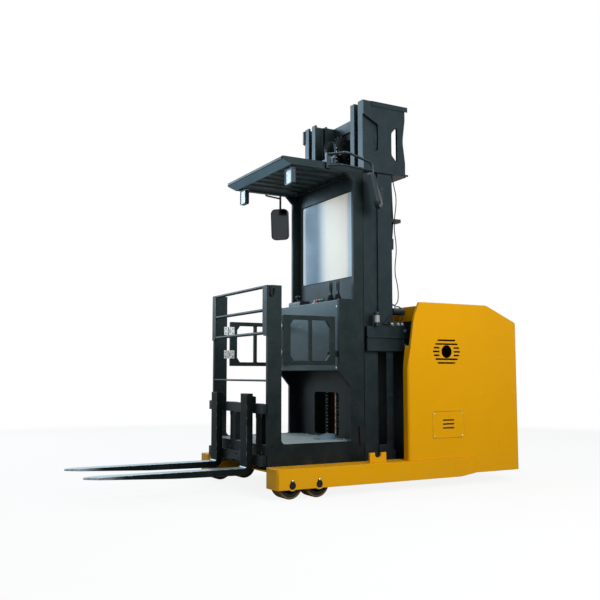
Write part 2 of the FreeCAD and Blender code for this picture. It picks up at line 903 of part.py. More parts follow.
save_pair("inner_rail", inner_rail())
inner_tie_y = mast_rear_y
top_tie_y = inner_tie_y + top_tie_back
front_fall_y = cylinder_y - sheave_pitch_r
rear_fall_y = cylinder_y + sheave_pitch_r
sheave_in = sheave_x - sheave_w / 2.0 - sheave_cheek_gap
sheave_out = sheave_x + sheave_w / 2.0 + sheave_cheek_gap


def inner_ties():
    """Cross ties behind the inner rails, the crosshead on the cylinder, and the sheaves' cheeks."""
    rear = inner_tie_y + tie_t
    pieces = []
    for low, high in inner_tie_z:
        pieces.append(slab("y", rect(-inner_out_x, inner_out_x, low, high, 8), inner_tie_y, rear))
    low, high = top_tie_z
    side_x = inner_in_x + top_side_t
    pieces.append(box(-side_x, side_x, top_tie_y, top_tie_y + tie_t, low, high))
    pieces += both_sides(box(inner_in_x, side_x, inner_tie_y, top_tie_y + seat, low, high))
    pieces.append(box(-inner_in_x - seat, inner_in_x + seat, top_tie_y - top_band_t, top_tie_y + seat,
                      high - top_band_h, high))
    crosshead = box(-crosshead_half_w, crosshead_half_w, cylinder_y - barrel_r, top_tie_y + seat,
                    barrel_top_z, barrel_top_z + crosshead_t)
    slot_half = chain_w / 2.0 + chain_slot
    slot_y = chain_h / 2.0 + chain_slot
    slots = []
    for x in (sheave_x, -sheave_x):
        slots.append(box(x - slot_half, x + slot_half, rear_fall_y - slot_y, rear_fall_y + slot_y,
                         barrel_top_z - 1, barrel_top_z + crosshead_t + 1))
    pieces.append(crosshead.cut(slots))
    foot = barrel_top_z + seat
    reach = sheave_pitch_r * 0.8
    ear = [(cylinder_y - reach, foot), (top_tie_y + seat, foot), (top_tie_y + seat, sheave_z + reach),
           (cylinder_y - reach * 0.5, sheave_z + reach, reach * 0.5), (cylinder_y - reach, sheave_z)]
    for x in (sheave_in - sheave_cheek_t, sheave_out):
        pieces += both_sides(slab("x", ear, x, x + sheave_cheek_t))
    pin_half = sheave_out + sheave_cheek_t + roller_side
    pieces.append(rod("x", (-pin_half, cylinder_y, sheave_z), sheave_pin_r, 2 * pin_half))
    return join(pieces)


def sheave():
    """A grooved wheel: the chain lies between its two rims."""
    x0 = sheave_x - sheave_w / 2.0
    x1 = x0 + sheave_w
    rim = sheave_pitch_r + sheave_rim
    bed = sheave_pitch_r - chain_waist / 2.0 - 0.4
    groove = chain_w / 2.0 + 1.0
    return turned_x(cylinder_y, sheave_z, [(x0, sheave_pin_r + bore_fit), (x0, rim), (sheave_x - groove, rim),
                                           (sheave_x - groove, bed), (sheave_x + groove, bed),
                                           (sheave_x + groove, rim), (x1, rim),
                                           (x1, sheave_pin_r + bore_fit)])


save("inner_ties", inner_ties())
save_all("chain_sheaves", both_sides(sheave()))

# ---- lift cylinder ----------------------------------------------------------------------------------
rod_pad = rod("z", (0, cylinder_y, base_top_z), rod_pad_r, rod_pad_t)
rod_top_z = barrel_top_z - rod_short
save("lift_rod", join([rod_pad, rod("z", (0, cylinder_y, base_top_z), rod_r, rod_top_z - base_top_z)]))


def lift_barrel():
    """The barrel with its gland: open below, closed by the head at the top."""
    length = barrel_top_z - barrel_bottom_z
    barrel = rod("z", (0, cylinder_y, barrel_bottom_z), barrel_r, length)
    gland = rod("z", (0, cylinder_y, barrel_bottom_z - gland_h), barrel_r + gland_lip, gland_h + 14)
    body = barrel.fuse(gland)
    body = body.cut(rod("z", (0, cylinder_y, barrel_bottom_z), barrel_bore_r, length - barrel_head_t))
    return body.cut(rod("z", (0, cylinder_y, barrel_bottom_z - gland_h - 1), rod_r + gland_fit, gland_h + 2))


save("lift_barrel", lift_barrel())

# ---- lift chains ------------------------------------------------------------------------------------
chassis_anchor_z = base_top_z + chassis_anchor_up


def chain_run(x, y, low, high):
    """Leaf chain seen along its pins: both edges are waisted once per pair of plates."""
    count = int((high - low) / chain_repeat)
    crest = chain_h / 2.0
    waist = chain_waist / 2.0
    front = [(y - waist, low)]
    rear = [(y + waist, low)]
    for i in range(count):
        z = high - (count - i) * chain_repeat
        front += [(y - crest, z + chain_repeat * 0.35), (y - waist, z + chain_repeat * 0.85)]
        rear += [(y + crest, z + chain_repeat * 0.35), (y + waist, z + chain_repeat * 0.85)]
    front.append((y - waist, high))
    rear.append((y + waist, high))
    return slab("x", front + rear[::-1], x - chain_w / 2.0, x + chain_w / 2.0)


def chain_wrap(x):
    """The half turn of chain over the sheave."""
    waist = chain_waist / 2.0
    ring = rod("x", (x - chain_w / 2, cylinder_y, sheave_z), sheave_pitch_r + waist, chain_w,
               sheave_pitch_r - waist)
    reach = sheave_pitch_r + chain_h
    keep = box(x - chain_w, x + chain_w, cylinder_y - reach, cylinder_y + reach, sheave_z, sheave_z + reach)
    return ring.common(keep)


front_falls = []
rear_falls = []
for x in (sheave_x, -sheave_x):
    front_falls.append(join([chain_run(x, front_fall_y, cab_anchor_z, sheave_z), chain_wrap(x)]))
    rear_falls.append(chain_run(x, rear_fall_y, chassis_anchor_z, sheave_z - 0.2))
save_all("chains_front", front_falls)
save_all("chains_rear", rear_falls)

# ---- mast head box --------------------------------------------------------------------------------
head_top_z = mast_top_z + head_rise
head_front_y = mast_front_y - head_front_set
head_mid_z = (head_bottom_z + head_top_z) / 2.0
head_out_x = frame_out_x + head_proud


def mast_head():
    """Waisted side plates with lips, a cut front, a window at the rear, and top and bottom sheets."""
    rear = head_rear_y + head_front_set - 2.0
    waist = head_rear_y - head_waist
    low = head_bottom_z + head_window_z[0]
    high = head_top_z - head_window_z[1]
    window_y0 = head_rear_y - head_window_y[0]
    window_y1 = head_rear_y - head_window_y[1]
    cut = head_front_y + head_cut_depth
    plate = [(head_front_y, head_bottom_z), (rear, head_bottom_z, 4), (rear, head_bottom_z + head_ear, 60),
             (waist, head_mid_z, 260), (rear, head_top_z - head_ear, 60), (rear, head_top_z, 4),
             (head_front_y, head_top_z), (head_front_y, head_top_z - head_ear),
             (cut, head_top_z - head_ear - head_cut_slope, 16),
             (cut, head_bottom_z + head_ear + head_cut_slope, 16),
             (head_front_y, head_bottom_z + head_ear)]
    window = [(window_y0, low + head_window_neck, 40), (window_y1, low, 8), (window_y1, high, 8),
              (window_y0, high - head_window_neck, 40)]
    pieces = both_sides(slab("x", plate, mast_half_w, head_out_x, [window]))
    lip_y0 = head_front_y + head_lip_start
    lip_y1 = head_rear_y + head_lip
    for low, high in ((head_bottom_z, head_bottom_z + head_sheet_t), (head_top_z - head_lip_h, head_top_z)):
        pieces += both_sides(box(head_out_x - seat, head_out_x + head_lip_out, lip_y0, lip_y1, low, high))
    half_w = mast_half_w + seat
    for low in (head_bottom_z, head_top_z - head_sheet_t):
        pieces.append(slab("z", rect(-half_w, half_w, stiffener_rear_y + 2, lip_y1), low, low + head_sheet_t))
    return join(pieces)


save("mast_head", mast_head())


# ---- mast support: side beams, gussets and rear cross ties -----------------------------------------
def mast_support():
    top = beam_z + beam_h
    front = mast_front_y
    beam = slab("x", rect(front, bulkhead_y, beam_z, top, edge_r), frame_out_x, frame_out_x + beam_t)
    rib = box(frame_out_x + seat, frame_out_x + beam_rib_out, front, bulkhead_y,
              beam_z + beam_rib_z, beam_z + beam_rib_z + beam_rib_t)
    flange = slab("x", rect(bulkhead_y - beam_flange_w, bulkhead_y, beam_z, top, edge_r),
                  frame_out_x + beam_t - seat, frame_out_x + beam_t + beam_flange_t)
    pieces = both_sides(join([beam, rib, flange]))
    tie_rear = stiffener_rear_y + outer_tie_t
    for low, high in outer_tie_z:
        pieces.append(box(-frame_out_x, frame_out_x, stiffener_rear_y, tie_rear, low, high))
    return join(pieces)


save("mast_support", mast_support())


# ---- hydraulic fittings and hoses on the mast ------------------------------------------------------
def oil_filter():
    """A bowl with a dark lid and neck, on a small bracket on the side beam."""
    x = frame_out_x + beam_t + filter_off
    z = beam_z + beam_h
    neck = rod("z", (x, filter_y, z), filter_neck_r, filter_neck_h + filter_h)
    bowl = rod("z", (x, filter_y, z + filter_neck_h), filter_r, filter_h)
    lid = rod("z", (x, filter_y, z + filter_neck_h + filter_h), filter_lid_r, filter_lid_h)
    bracket = box(frame_out_x + clear, x, filter_y - filter_neck_r, filter_y + filter_neck_r,
                  z, z + filter_neck_r)
    return join([neck, bowl, lid, bracket])


accumulator = rod("y", (accumulator_x, stiffener_rear_y + outer_tie_t - 2, body_top_z - accumulator_drop),
                  accumulator_r, accumulator_len)
save_all("hydraulic_fittings", [oil_filter(), accumulator])


def mast_hoses():
    """Hoses down the rear of the mast, held by one clamp, which turn in through the bulkhead."""
    clamp_x = hose_first_x - hose_r - 5.0
    clamp = box(clamp_x, clamp_x + clamp_w, stiffener_rear_y, stiffener_rear_y + clamp_depth,
                clamp_z, clamp_z + clamp_h)
    hoses = []
    for i in range(hose_count):
        x = hose_first_x + i * hose_pitch
        path = [(x, stiffener_rear_y + off, z) for off, z in hose_route]
        in_z = hose_in_z - i * hose_pitch
        path += [(x, bulkhead_y - 2 * hose_bend, in_z), (x, bulkhead_y, in_z)]
        hoses.append(bent_tube(path, hose_r, hose_bend).cut(clamp))
    return hoses + [clamp]


save_all("mast_hoses", mast_hoses())

# ---- cab side frames ------------------------------------------------------------------------------
cab_in_x = cab_half_w - cab_wall
roof_low_z = roof_z - roof_h
post_rear_y = cab_front_y + post_depth
sill_z = floor_top_z + sill_lip
gate_hinge_x = gate_x - hinge_r
gate_hinge_y = post_rear_y + hinge_set
gate_rear_y = pillar_wide_front_y - gate_end_gap
knuckle_h = (hinge_h - 2 * hinge_joint) / 3.0


def hinge_body_half(z):
    """The fixed half of a butt hinge: the middle knuckle and its leaf on the post."""
    low = z + knuckle_h + hinge_joint
    knuckle = rod("z", (gate_hinge_x, gate_hinge_y, low), hinge_r, knuckle_h)
    web = box(gate_hinge_x, cab_in_x, gate_hinge_y - hinge_r, gate_hinge_y - hinge_r + hinge_leaf_t,
              low, low + knuckle_h)
    leaf = box(cab_in_x - hinge_leaf_t, cab_in_x + seat, gate_hinge_y - hinge_r - hinge_leaf_w,
               gate_hinge_y - hinge_r + hinge_leaf_t, z, z + hinge_h)
    bore = rod("z", (gate_hinge_x, gate_hinge_y, z), hinge_pin_r + hinge_fit, hinge_h)
    return knuckle.fuse([web, leaf]).cut(bore)


def cab_side():
    """One plate: the front post, the sill and the rear pillar that widens beside the desk."""
    desk = console_top_z + 4.0
    sheet = [(cab_front_y, cab_bottom_z, edge_r), (cab_rear_y, cab_bottom_z, edge_r),
             (cab_rear_y, roof_low_z), (pillar_upper_front_y - pillar_gusset, roof_low_z),
             (pillar_upper_front_y, roof_low_z - pillar_gusset), (pillar_upper_front_y, desk, 10),
             (pillar_wide_front_y, desk, 6), (pillar_wide_front_y, pillar_step_high_z, pillar_r),
             (pillar_low_front_y, pillar_step_low_z, pillar_r), (pillar_low_front_y, sill_z, pillar_r),
             (post_rear_y, sill_z, sill_r), (post_rear_y, post_top_z), (cab_front_y, post_top_z, edge_r)]
    slot_y = cab_front_y + hook_slot[0]
    slot = [(slot_y, hook_slot_z, 4), (slot_y + hook_slot[1] * 0.5, hook_slot_z, 4),
            (slot_y + hook_slot[1], hook_slot_z + hook_slot_h, 4),
            (slot_y + hook_slot[1] * 0.7, hook_slot_z + hook_slot_h, 4),
            (slot_y, hook_slot_z + hook_slot_h * 0.45, 4)]
    plate = slab("x", sheet, cab_in_x, cab_half_w)
    plate = plate.cut(slab("x", slot, cab_half_w - 4, cab_half_w + 1))
    strap_x = cab_half_w - strap_w
    strap = slab("y", [(strap_x, strap_bottom_z + strap_foot), (strap_x + strap_foot, strap_bottom_z),
                       (cab_half_w, strap_bottom_z), (cab_half_w, post_top_z), (strap_x, post_top_z)],
                 cab_front_y - strap_t, cab_front_y)
    edge = box(cab_in_x - strap_t, cab_in_x + seat, cab_front_y - strap_t, cab_front_y + strap_t,
               strap_bottom_z, post_top_z)
    foot_y = cab_rear_y - foot_bracket_w
    foot_top = foot_bracket_z + foot_bracket_h
    foot = slab("x", [(foot_y + 8, foot_bracket_z), (cab_rear_y, foot_bracket_z + 14),
                      (cab_rear_y, foot_top - 30), (foot_y + 20, foot_top), (foot_y, foot_top - 16)],
                cab_half_w - seat, cab_half_w + foot_bracket_t)
    catch_z = gate_bottom_z + latch_up - (catch_h - latch_h) / 2.0
    catch = box(gate_x - catch_t / 2, cab_in_x + seat, gate_rear_y + hinge_r, console_front_y - 1,
                catch_z, catch_z + catch_h)
    hinges = [hinge_body_half(gate_bottom_z + up) for up in (hinge_low, hinge_high)]
    return join([plate, strap, edge, foot, catch] + hinges)


save_pair("cab_side", cab_side())


def platform():
    """The floor plate with its front and rear skirts, ribs below, and the lift chains' anchors."""
    under = floor_top_z - floor_t
    back_y = cab_rear_y - clear
    pieces = [box(-cab_in_x, cab_in_x, cab_front_y, back_y, under, floor_top_z),
              box(-cab_in_x, cab_in_x, cab_front_y, cab_front_y + floor_t, cab_bottom_z, under),
              box(-cab_in_x, cab_in_x, back_y - floor_t, back_y, cab_bottom_z, under)]
    for x in platform_rib_x:
        half = platform_rib_t / 2.0
        pieces.append(box(x - half, x + half, cab_front_y + floor_t, back_y - floor_t,
                          cab_bottom_z + platform_rib_gap, under))
    half = anchor_w / 2.0
    for x in (sheave_x, -sheave_x):
        pieces.append(box(x - half, x + half, back_y - seat, front_fall_y + chain_h / 2.0 + 4.0,
                          cab_anchor_z - anchor_h, cab_anchor_z))
    return join(pieces)


save("platform", platform())


def roller_arm(x):
    """A bracket behind the rear wall that carries the cab's guide rollers."""
    root = rear_wall_y + cab_wall - seat
    tip = rear_wall_y + cab_wall + arm_reach
    low, high = arm_z
    return slab("x", [(root, low), (tip - arm_bevel, low), (tip, low + arm_bevel), (tip, high - arm_bevel),
                      (tip - arm_bevel, high), (root, high)], x, x + arm_t)


def rear_wall():
    """The wall behind the operator: window low down, pane above, and roller arms behind it."""
    wall = slab("y", rect(-cab_in_x, cab_in_x, floor_top_z, roof_low_z), rear_wall_y, rear_wall_y + cab_wall,
                [rect(-window_half_w, window_half_w, window_bottom_z, window_top_z, window_r),
                 rect(-pane_half_w, pane_half_w, pane_bottom_z, pane_top_z, 2 * edge_r)])
    arms = []
    roller_x = inner_web_x - roller_side
    for z in cab_roller_z:
        pin = arm_x + arm_t - seat
        arms.append(rod("x", (pin, rail_mid_y, z), roller_pin_r, roller_x - pin))
        face = pin + clear
        arms.append(rod("x", (face, rail_mid_y, z), roller_r, roller_x - face))
    arm = join([roller_arm(arm_x)] + arms)
    return join([wall] + both_sides(arm))


save("rear_wall", rear_wall())
pane_y = rear_wall_y + pane_set
save("rear_pane", slab("y", rect(-pane_half_w, pane_half_w, pane_bottom_z, pane_top_z, 2 * edge_r),
                       pane_y, pane_y + pane_t))


# ---- operator's desk --------------------------------------------------------------------------------
def console():
    """The desk across the cab: a folded box, open below."""
    half_w = cab_in_x - 1.0
    t = console_t
    body = slab("x", [(console_front_y, console_bottom_z, console_r), (rear_wall_y, console_bottom_z),
                      (rear_wall_y, console_top_z), (console_front_y, console_top_z, console_r)],
                -half_w, half_w)
    return body.cut(box(-half_w + t, half_w - t, console_front_y + t, rear_wall_y - t,
                        console_bottom_z - 1, console_top_z - t))


def lever(x, y, z):
    """A hand lever: a flat blade that widens upwards, out of a conical boot."""
    boot = Part.makeCone(boot_r, boot_top_r, boot_h, V(x, y, z), AXES["z"])
    half = lever_w / 2.0
    top = z + lever_h
    blade = slab("y", [(x - half * 0.5, z + boot_h - 4), (x + half * 0.5, z + boot_h - 4),
                       (x + half, top - lever_h * 0.35, 20), (x + half, top, half * 0.7),
                       (x - half, top, half * 0.7), (x - half, top - lever_h * 0.35, 20)],
                 y - lever_t / 2, y + lever_t / 2)
    return join([boot, blade])


def tiller(y, z):
    """The steering box with its mushroom knob."""
    x0, x1 = tiller_box
    front = console_front_y + tiller_box_set
    rear = front + tiller_box_depth
    case = slab("x", [(front, z), (rear, z), (rear, z + tiller_box_h, 8), (front, z + tiller_box_h, 14)],
                x0, x1)
    x = (x0 + x1) / 2.0
    stem = rod("z", (x, y, z + tiller_box_h - 1), tiller_stem_r, tiller_knob_h - tiller_box_h)
    low = Part.makeCone(tiller_stem_r, tiller_knob_r, 16, V(x, y, z + tiller_knob_h - 30), AXES["z"])
    cap = Part.makeCone(tiller_knob_r, tiller_stem_r, 14, V(x, y, z + tiller_knob_h - 14), AXES["z"])
    return join([case, stem, low, cap])


def controls():
    y = console_front_y + controls_back
    pieces = [lever(x, y, console_top_z) for x in lever_x]
    pieces.append(tiller(y, console_top_z))
    for x in button_x:
        pieces.append(rod("z", (x, y - clear, console_top_z), button_r, button_h))
    return pieces


save("console", console())
save_all("controls", controls())
pedal_y = rear_wall_y - pedal_back - pedal_len
save("foot_pedal", slab("x", [(pedal_y, floor_top_z), (pedal_y + pedal_len, floor_top_z),
                              (pedal_y + pedal_len, floor_top_z + pedal_h - 6, 6),
                              (pedal_y + pedal_len - 15, floor_top_z + pedal_h, 6),
                              (pedal_y, floor_top_z + pedal_toe, edge_r)], pedal_x[0], pedal_x[1]))


# ---- overhead guard ---------------------------------------------------------------------------------
def roof_guard():
    """A frame with a nose that thins forwards, and slats from front to rear with gussets behind."""
    nose = roof_z - roof_nose
    inner_w = cab_half_w - roof_side_w
    front = roof_front_y + roof_slope
    rear = cab_rear_y - roof_rear_w
    frame = slab("x", [(roof_front_y, nose, 8), (roof_front_y, roof_z, 8), (cab_rear_y, roof_z),
                       (cab_rear_y, roof_low_z), (front, roof_low_z)], -cab_half_w, cab_half_w)
    hole = slab("z", rect(-inner_w, inner_w, front, rear, roof_corner_r), roof_low_z - 1, roof_z + 1)
    plan = slab("z", [(-cab_half_w, roof_front_y, roof_corner_r), (cab_half_w, roof_front_y, roof_corner_r),
                      (cab_half_w, cab_rear_y), (-cab_half_w, cab_rear_y)], roof_low_z - 1, roof_z + 1)
    pieces = [frame.common(plan).cut(hole)]
    pitch = 2.0 * inner_w / (slat_count + 1)
    top = roof_z - slat_drop
    for i in range(slat_count):
        x = -inner_w + pitch * (i + 1)
        pieces.append(box(x - slat_w / 2, x + slat_w / 2, front - seat, rear + seat, top - slat_h, top))
    low = top - slat_h
    for i in range(slat_count + 1):
        x = -inner_w + pitch * (i + 0.5)
        gusset = slab("x", [(rear + seat, roof_low_z), (rear + seat, top), (rear - slat_gusset, top),
                            (rear - slat_gusset, low)], x - slat_gusset_t / 2, x + slat_gusset_t / 2)
        pieces.append(gusset)
    return join(pieces)


save("roof_guard", roof_guard())


def lamp():
    """A flat work lamp under the guard: rounded case, dished front, two hanger straps."""
    top = roof_low_z - lamp_bracket_h
    half = lamp_w / 2.0
    rear = lamp_y + lamp_depth
    rim = lamp_rim
    case = slab("y", rect(lamp_x - half, lamp_x + half, top - lamp_h, top, lamp_r), lamp_y, rear)
    inner = half - rim
    dish = slab("y", rect(lamp_x - inner, lamp_x + inner, top - lamp_h + rim, top - rim, lamp_r - 4),
                lamp_y - 1, lamp_y + lamp_dish)
    straps = []
    for x in (lamp_x - half * 0.5, lamp_x + half * 0.5 - lamp_bracket_t):
        straps.append(box(x, x + lamp_bracket_t, lamp_y + clear, rear - clear, top - seat, roof_low_z))
    return join([case.cut(dish)] + straps)


save_all("lamps", both_sides(lamp()))


def turned(thing, turn):
    """A mirror piece leant forward at its top by turn[1], then turned about the vertical by turn[0]."""
    thing.rotate(V(0, 0, 0), AXES["x"], turn[1])
    thing.rotate(V(0, 0, 0), AXES["z"], turn[0])
    return thing


def mirror_head(place, turn):
    """A shallow moulded shell round a glass that lies a little below its rim."""
    half_w = mirror_w / 2.0
    half_h = mirror_h / 2.0
    shell = slab("y", rect(-half_w, half_w, -half_h, half_h, mirror_r), 0, mirror_t)
    back = [e for e in shell.Edges if e.BoundBox.YMin > mirror_t - 0.1]
    shell = shell.makeChamfer(mirror_bevel, back)
    rim = mirror_rim
    glass = slab("y", rect(-half_w + rim, half_w - rim, -half_h + rim, half_h - rim, mirror_r - rim),
                 -1, mirror_glass_set)
    shell = turned(shell.cut(glass), turn)
    shell.translate(V(*place))
    return shell


def mirror(place, turn):
    """A mirror on its bent arm and brace, from a bracket on the side of the guard."""
    grip = turned(Part.Vertex(0, mirror_t / 2, mirror_h * mirror_grip), turn).Point
    x = place[0] + grip.x
    stem_y = place[1] + grip.y
    top = place[2] + grip.z
    root_x = cab_half_w + mirror_bracket_t - seat
    y0 = mirror_bracket_y
    up = roof_z + mirror_bracket_up - clear
    knee_z = max(top + 2 * mirror_bend, roof_z + clear)
    arm = bent_tube([(root_x, y0, up), (x, y0 + 0.35 * (stem_y - y0), up + clear), (x, stem_y, knee_z),
                     (x, stem_y, top)], mirror_arm_r, mirror_bend)
    low = roof_low_z + 2 * clear
    brace = bent_tube([(root_x, y0, low), (x, y0 + 0.2 * (stem_y - y0), low),
                       (x, stem_y, knee_z - 1.2 * mirror_bend)],
                      mirror_brace_r, mirror_bend / 2)
    half = mirror_bracket_w / 2.0
    bracket = box(cab_half_w, cab_half_w + mirror_bracket_t, y0 - half, y0 + half,
                  roof_low_z + 6, roof_z + mirror_bracket_up)
    return join([arm, brace, bracket, mirror_head(place, turn)])


right_mirror = mirror_x(mirror(mirror_right, mirror_right_turn))
save_all("mirrors", [mirror(mirror_left, mirror_left_turn), right_mirror])


# ---- front guard bars, fork carriage, forks --------------------------------------------------------
def front_guard():
    """Three bars between the posts' straps, and a thin bar lower down."""
    half_w = cab_half_w - strap_w
    bars = [rod("x", (-half_w, cab_front_y + 4, z), guard_bar_r, 2 * half_w) for z in guard_bar_z]
    bars.append(rod("x", (-cab_in_x, cab_front_y + 8, low_bar_z), low_bar_r, 2 * cab_in_x))
    return bars


save_all("front_guard", front_guard())
carriage_front_y = cab_front_y - carriage_t


def fork_carriage():
    """Two hook bars on two upright plates that stand on the cab's floor."""
    top = carriage_high_z + carriage_high_h
    low_top = carriage_low_z + carriage_low_h
    low = slab("y", rect(-carriage_half_w, carriage_half_w, carriage_low_z, low_top, edge_r),
               carriage_front_y, cab_front_y)
    low = low.cut(box(carriage_notch_x, carriage_notch_x + carriage_notch_w, carriage_front_y - 1,
                      cab_front_y + 1, carriage_low_z - 1, carriage_low_z + carriage_notch_h))
    hole = rod("y", (carriage_hole_x, carriage_front_y - 1, low_top - 22), carriage_hole_r, carriage_t + 2)
    low = low.cut(hole)
    high = slab("y", rect(-carriage_half_w, carriage_half_w, carriage_high_z, top, edge_r),
                carriage_front_y, cab_front_y)
    plates = []
    rear = cab_front_y + carriage_plate_depth
    side = [(cab_front_y - seat, floor_top_z), (rear, floor_top_z), (rear, top - 40), (cab_front_y + 20, top),
            (cab_front_y - seat, top)]
    for x in carriage_plate_x:
        plates.append(slab("x", side, x, x + carriage_plate_w))
    return join([low, high] + plates)


save("fork_carriage", fork_carriage())


def fork():
    """A forged fork: tapered blade, rounded heel, shank, and the hook on the carriage's upper bar."""
    front = carriage_front_y - fork_t
    tip = front - fork_length
    low = fork_top_z - fork_t
    side = [(front, fork_shank_top_z, edge_r), (front, fork_top_z, 14), (tip, fork_top_z, 4),
            (tip, fork_top_z - fork_tip_t, 4), (front - fork_taper_len, fork_top_z - fork_taper_t, 200),
            (front - fork_heel_r, low, 100), (carriage_front_y, low, fork_heel_r),
            (carriage_front_y, fork_shank_top_z, edge_r)]
    blade = slab("x", side, fork_outer_x - fork_w, fork_outer_x)
    mid = fork_outer_x - fork_w / 2.0
    half = fork_w / 2.0
    nose = fork_tip_w / 2.0
    root = carriage_front_y + 1
    plan = slab("z", [(mid - half, root), (mid - half, tip + fork_tip_run, 60), (mid - nose, tip, 12),
                      (mid + nose, tip, 12), (mid + half, tip + fork_tip_run, 60), (mid + half, root)],
                0, 2 * fork_shank_top_z)
    bar_top = carriage_high_z + carriage_high_h
    hook_rear = cab_front_y - 6.0
    hook = slab("x", [(carriage_front_y - 1, bar_top), (hook_rear, bar_top),
                      (hook_rear, fork_shank_top_z - fork_hook_drop - fork_hook_slope, 4),
                      (carriage_front_y - 1, fork_shank_top_z - fork_hook_drop)],
                mid - half, mid + half)
    return join([blade.common(plan), hook])


save_pair("fork", fork())


# ---- gates ------------------------------------------------------------------------------------------
def hinge_gate_half(z):
    """The moving half of a butt hinge: two knuckles, the pin and the leaf on the gate."""
    inner = gate_x - gate_t / 2.0
    leaf_y = gate_hinge_y + hinge_r + 4.0
    pieces = [rod("z", (gate_hinge_x, gate_hinge_y, z), hinge_pin_r, hinge_h)]
    for low in (z, z + hinge_h - knuckle_h):
        pieces.append(rod("z", (gate_hinge_x, gate_hinge_y, low), hinge_r, knuckle_h))
        pieces.append(box(gate_hinge_x - hinge_r - hinge_leaf_t + 2, gate_hinge_x, gate_hinge_y,
                          leaf_y + 1, low, low + knuckle_h))
    pieces.append(box(inner - hinge_leaf_t, inner + seat, leaf_y, leaf_y + hinge_leaf_w, z, z + hinge_h))
    return pieces


def gate():
    """A flat frame with one bar, gussets at its corners, hinge leaves and a latch."""
    y0 = gate_hinge_y + hinge_r + 4.0
    y1 = gate_rear_y
    x0 = gate_x - gate_t / 2.0
    x1 = gate_x + gate_t / 2.0
    low = gate_bottom_z + gate_rail
    high = gate_top_z - gate_rail
    bar = y0 + gate_bar_back
    front = y0 + gate_stile
    rear = y1 - gate_rear_stile
    cy, cz = gate_chamfer
    ry, rz = gate_rear_chamfer
    r = gate_corner_r
    first = [(front, low + cz, r), (front + cy, low, r), (bar, low, r), (bar, high, r),
             (front + cy, high, r), (front, high - cz, r)]
    bar_rear = bar + gate_bar_w
    second = [(bar_rear, low, r), (rear - ry, low, r), (rear, low + rz, r), (rear, high - rz, r),
              (rear - ry, high, r), (bar_rear, high, r)]
    frame = slab("x", rect(y0, y1, gate_bottom_z, gate_top_z, 4), x0, x1, [first, second])
    latch_z = gate_bottom_z + latch_up
    latch = box(x0 - latch_t, x0 + seat, y1 - latch_len - 2, y1 - 2, latch_z, latch_z + latch_h)
    pieces = [frame, latch]
    for up in (hinge_low, hinge_high):
        pieces += hinge_gate_half(gate_bottom_z + up)
    return join(pieces)


save_pair("gate", gate())
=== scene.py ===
import json
import math

import bpy
import numpy as np
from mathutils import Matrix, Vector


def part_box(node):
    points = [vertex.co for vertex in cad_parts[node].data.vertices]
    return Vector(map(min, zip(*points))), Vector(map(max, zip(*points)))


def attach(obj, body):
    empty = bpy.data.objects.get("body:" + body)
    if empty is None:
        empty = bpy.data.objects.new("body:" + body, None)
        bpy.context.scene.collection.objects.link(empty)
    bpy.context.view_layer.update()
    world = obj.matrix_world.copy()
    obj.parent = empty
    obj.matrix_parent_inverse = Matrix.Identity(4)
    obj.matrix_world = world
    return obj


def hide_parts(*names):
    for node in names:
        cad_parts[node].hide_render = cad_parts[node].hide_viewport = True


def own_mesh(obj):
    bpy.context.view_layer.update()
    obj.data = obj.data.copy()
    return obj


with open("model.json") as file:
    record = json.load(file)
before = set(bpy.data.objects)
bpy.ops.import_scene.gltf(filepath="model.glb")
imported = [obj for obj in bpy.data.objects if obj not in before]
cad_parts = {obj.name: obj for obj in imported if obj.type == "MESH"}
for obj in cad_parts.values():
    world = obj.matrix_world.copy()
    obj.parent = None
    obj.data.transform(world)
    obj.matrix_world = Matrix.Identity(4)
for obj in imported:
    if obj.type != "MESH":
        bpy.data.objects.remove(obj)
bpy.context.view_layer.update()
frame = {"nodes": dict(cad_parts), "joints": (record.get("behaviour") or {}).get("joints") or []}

bl_info = {
    "name": "Order Picker Dressing",
    "version": (1, 0, 0),
    "blender": (4, 5, 0),
    "location": "3D View > Sidebar > Order Picker",
    "description": "Finishes, chains, fasteners and fittings of a stand-up order picker",
    "category": "Object",
}

SIDES = (1.0, -1.0)
HANDS = (("left", 1.0), ("right", -1.0))
FACES = {"x": (1.0, 0.0, 0.0), "y": (0.0, 1.0, 0.0), "z": (0.0, 0.0, 1.0),
         "-y": (0.0, -1.0, 0.0)}

# Heights of the side beams' lower and upper faces, and of the foot of each gate hinge's plates.
BEAM_LOW, BEAM_TOP = 0.969, 1.146
HINGES = (0.9, 1.09)

# The lighter grey on the edges of dark paint, partly wear and partly a painted edge highlight, and the tints
# of a warm and a cool gleam.
WORN_DARK_AND_HIGHLIGHT = (0.13, 0.15, 0.16)
WARM, COOL = (1.0, 0.85, 0.4), (0.62, 0.86, 1.0)

# How far the gloss drifts, and the roughness of worn and of dusty paint.
GLOSS_DRIFT, WORN_ROUGHNESS, DUST_ROUGHNESS = 0.22, 0.42, 0.85

# Height above the floor where the painted shade ends, and the share of the paint's colour that is left under
# it.
SHADE_HEIGHT, SHADE_SHARE = 1.3, 0.12


def tint(code):
    """A six-figure colour code as linear red, green and blue."""
    parts = [int(code[i:i + 2], 16) / 255.0 for i in (0, 2, 4)]
    return tuple(p / 12.92 if p <= 0.04045 else ((p + 0.055) / 1.055) ** 2.4 for p in parts)


def colour_setting(name, code, words):
    return bpy.props.FloatVectorProperty(name=name, description=words, default=tint(code), subtype="COLOR",
                                         size=3, min=0.0, max=1.0)


def length_setting(name, metres, words):
    return bpy.props.FloatProperty(name=name, description=words, default=metres, unit="LENGTH", min=0.0)


def angle_setting(name, degrees, words):
    return bpy.props.FloatProperty(name=name, description=words, default=math.radians(degrees),
                                   subtype="ANGLE", unit="ROTATION")


def lamp_setting(name, watts, words):
    return bpy.props.FloatProperty(name=name, description=words, default=watts, unit="POWER", min=0.0)


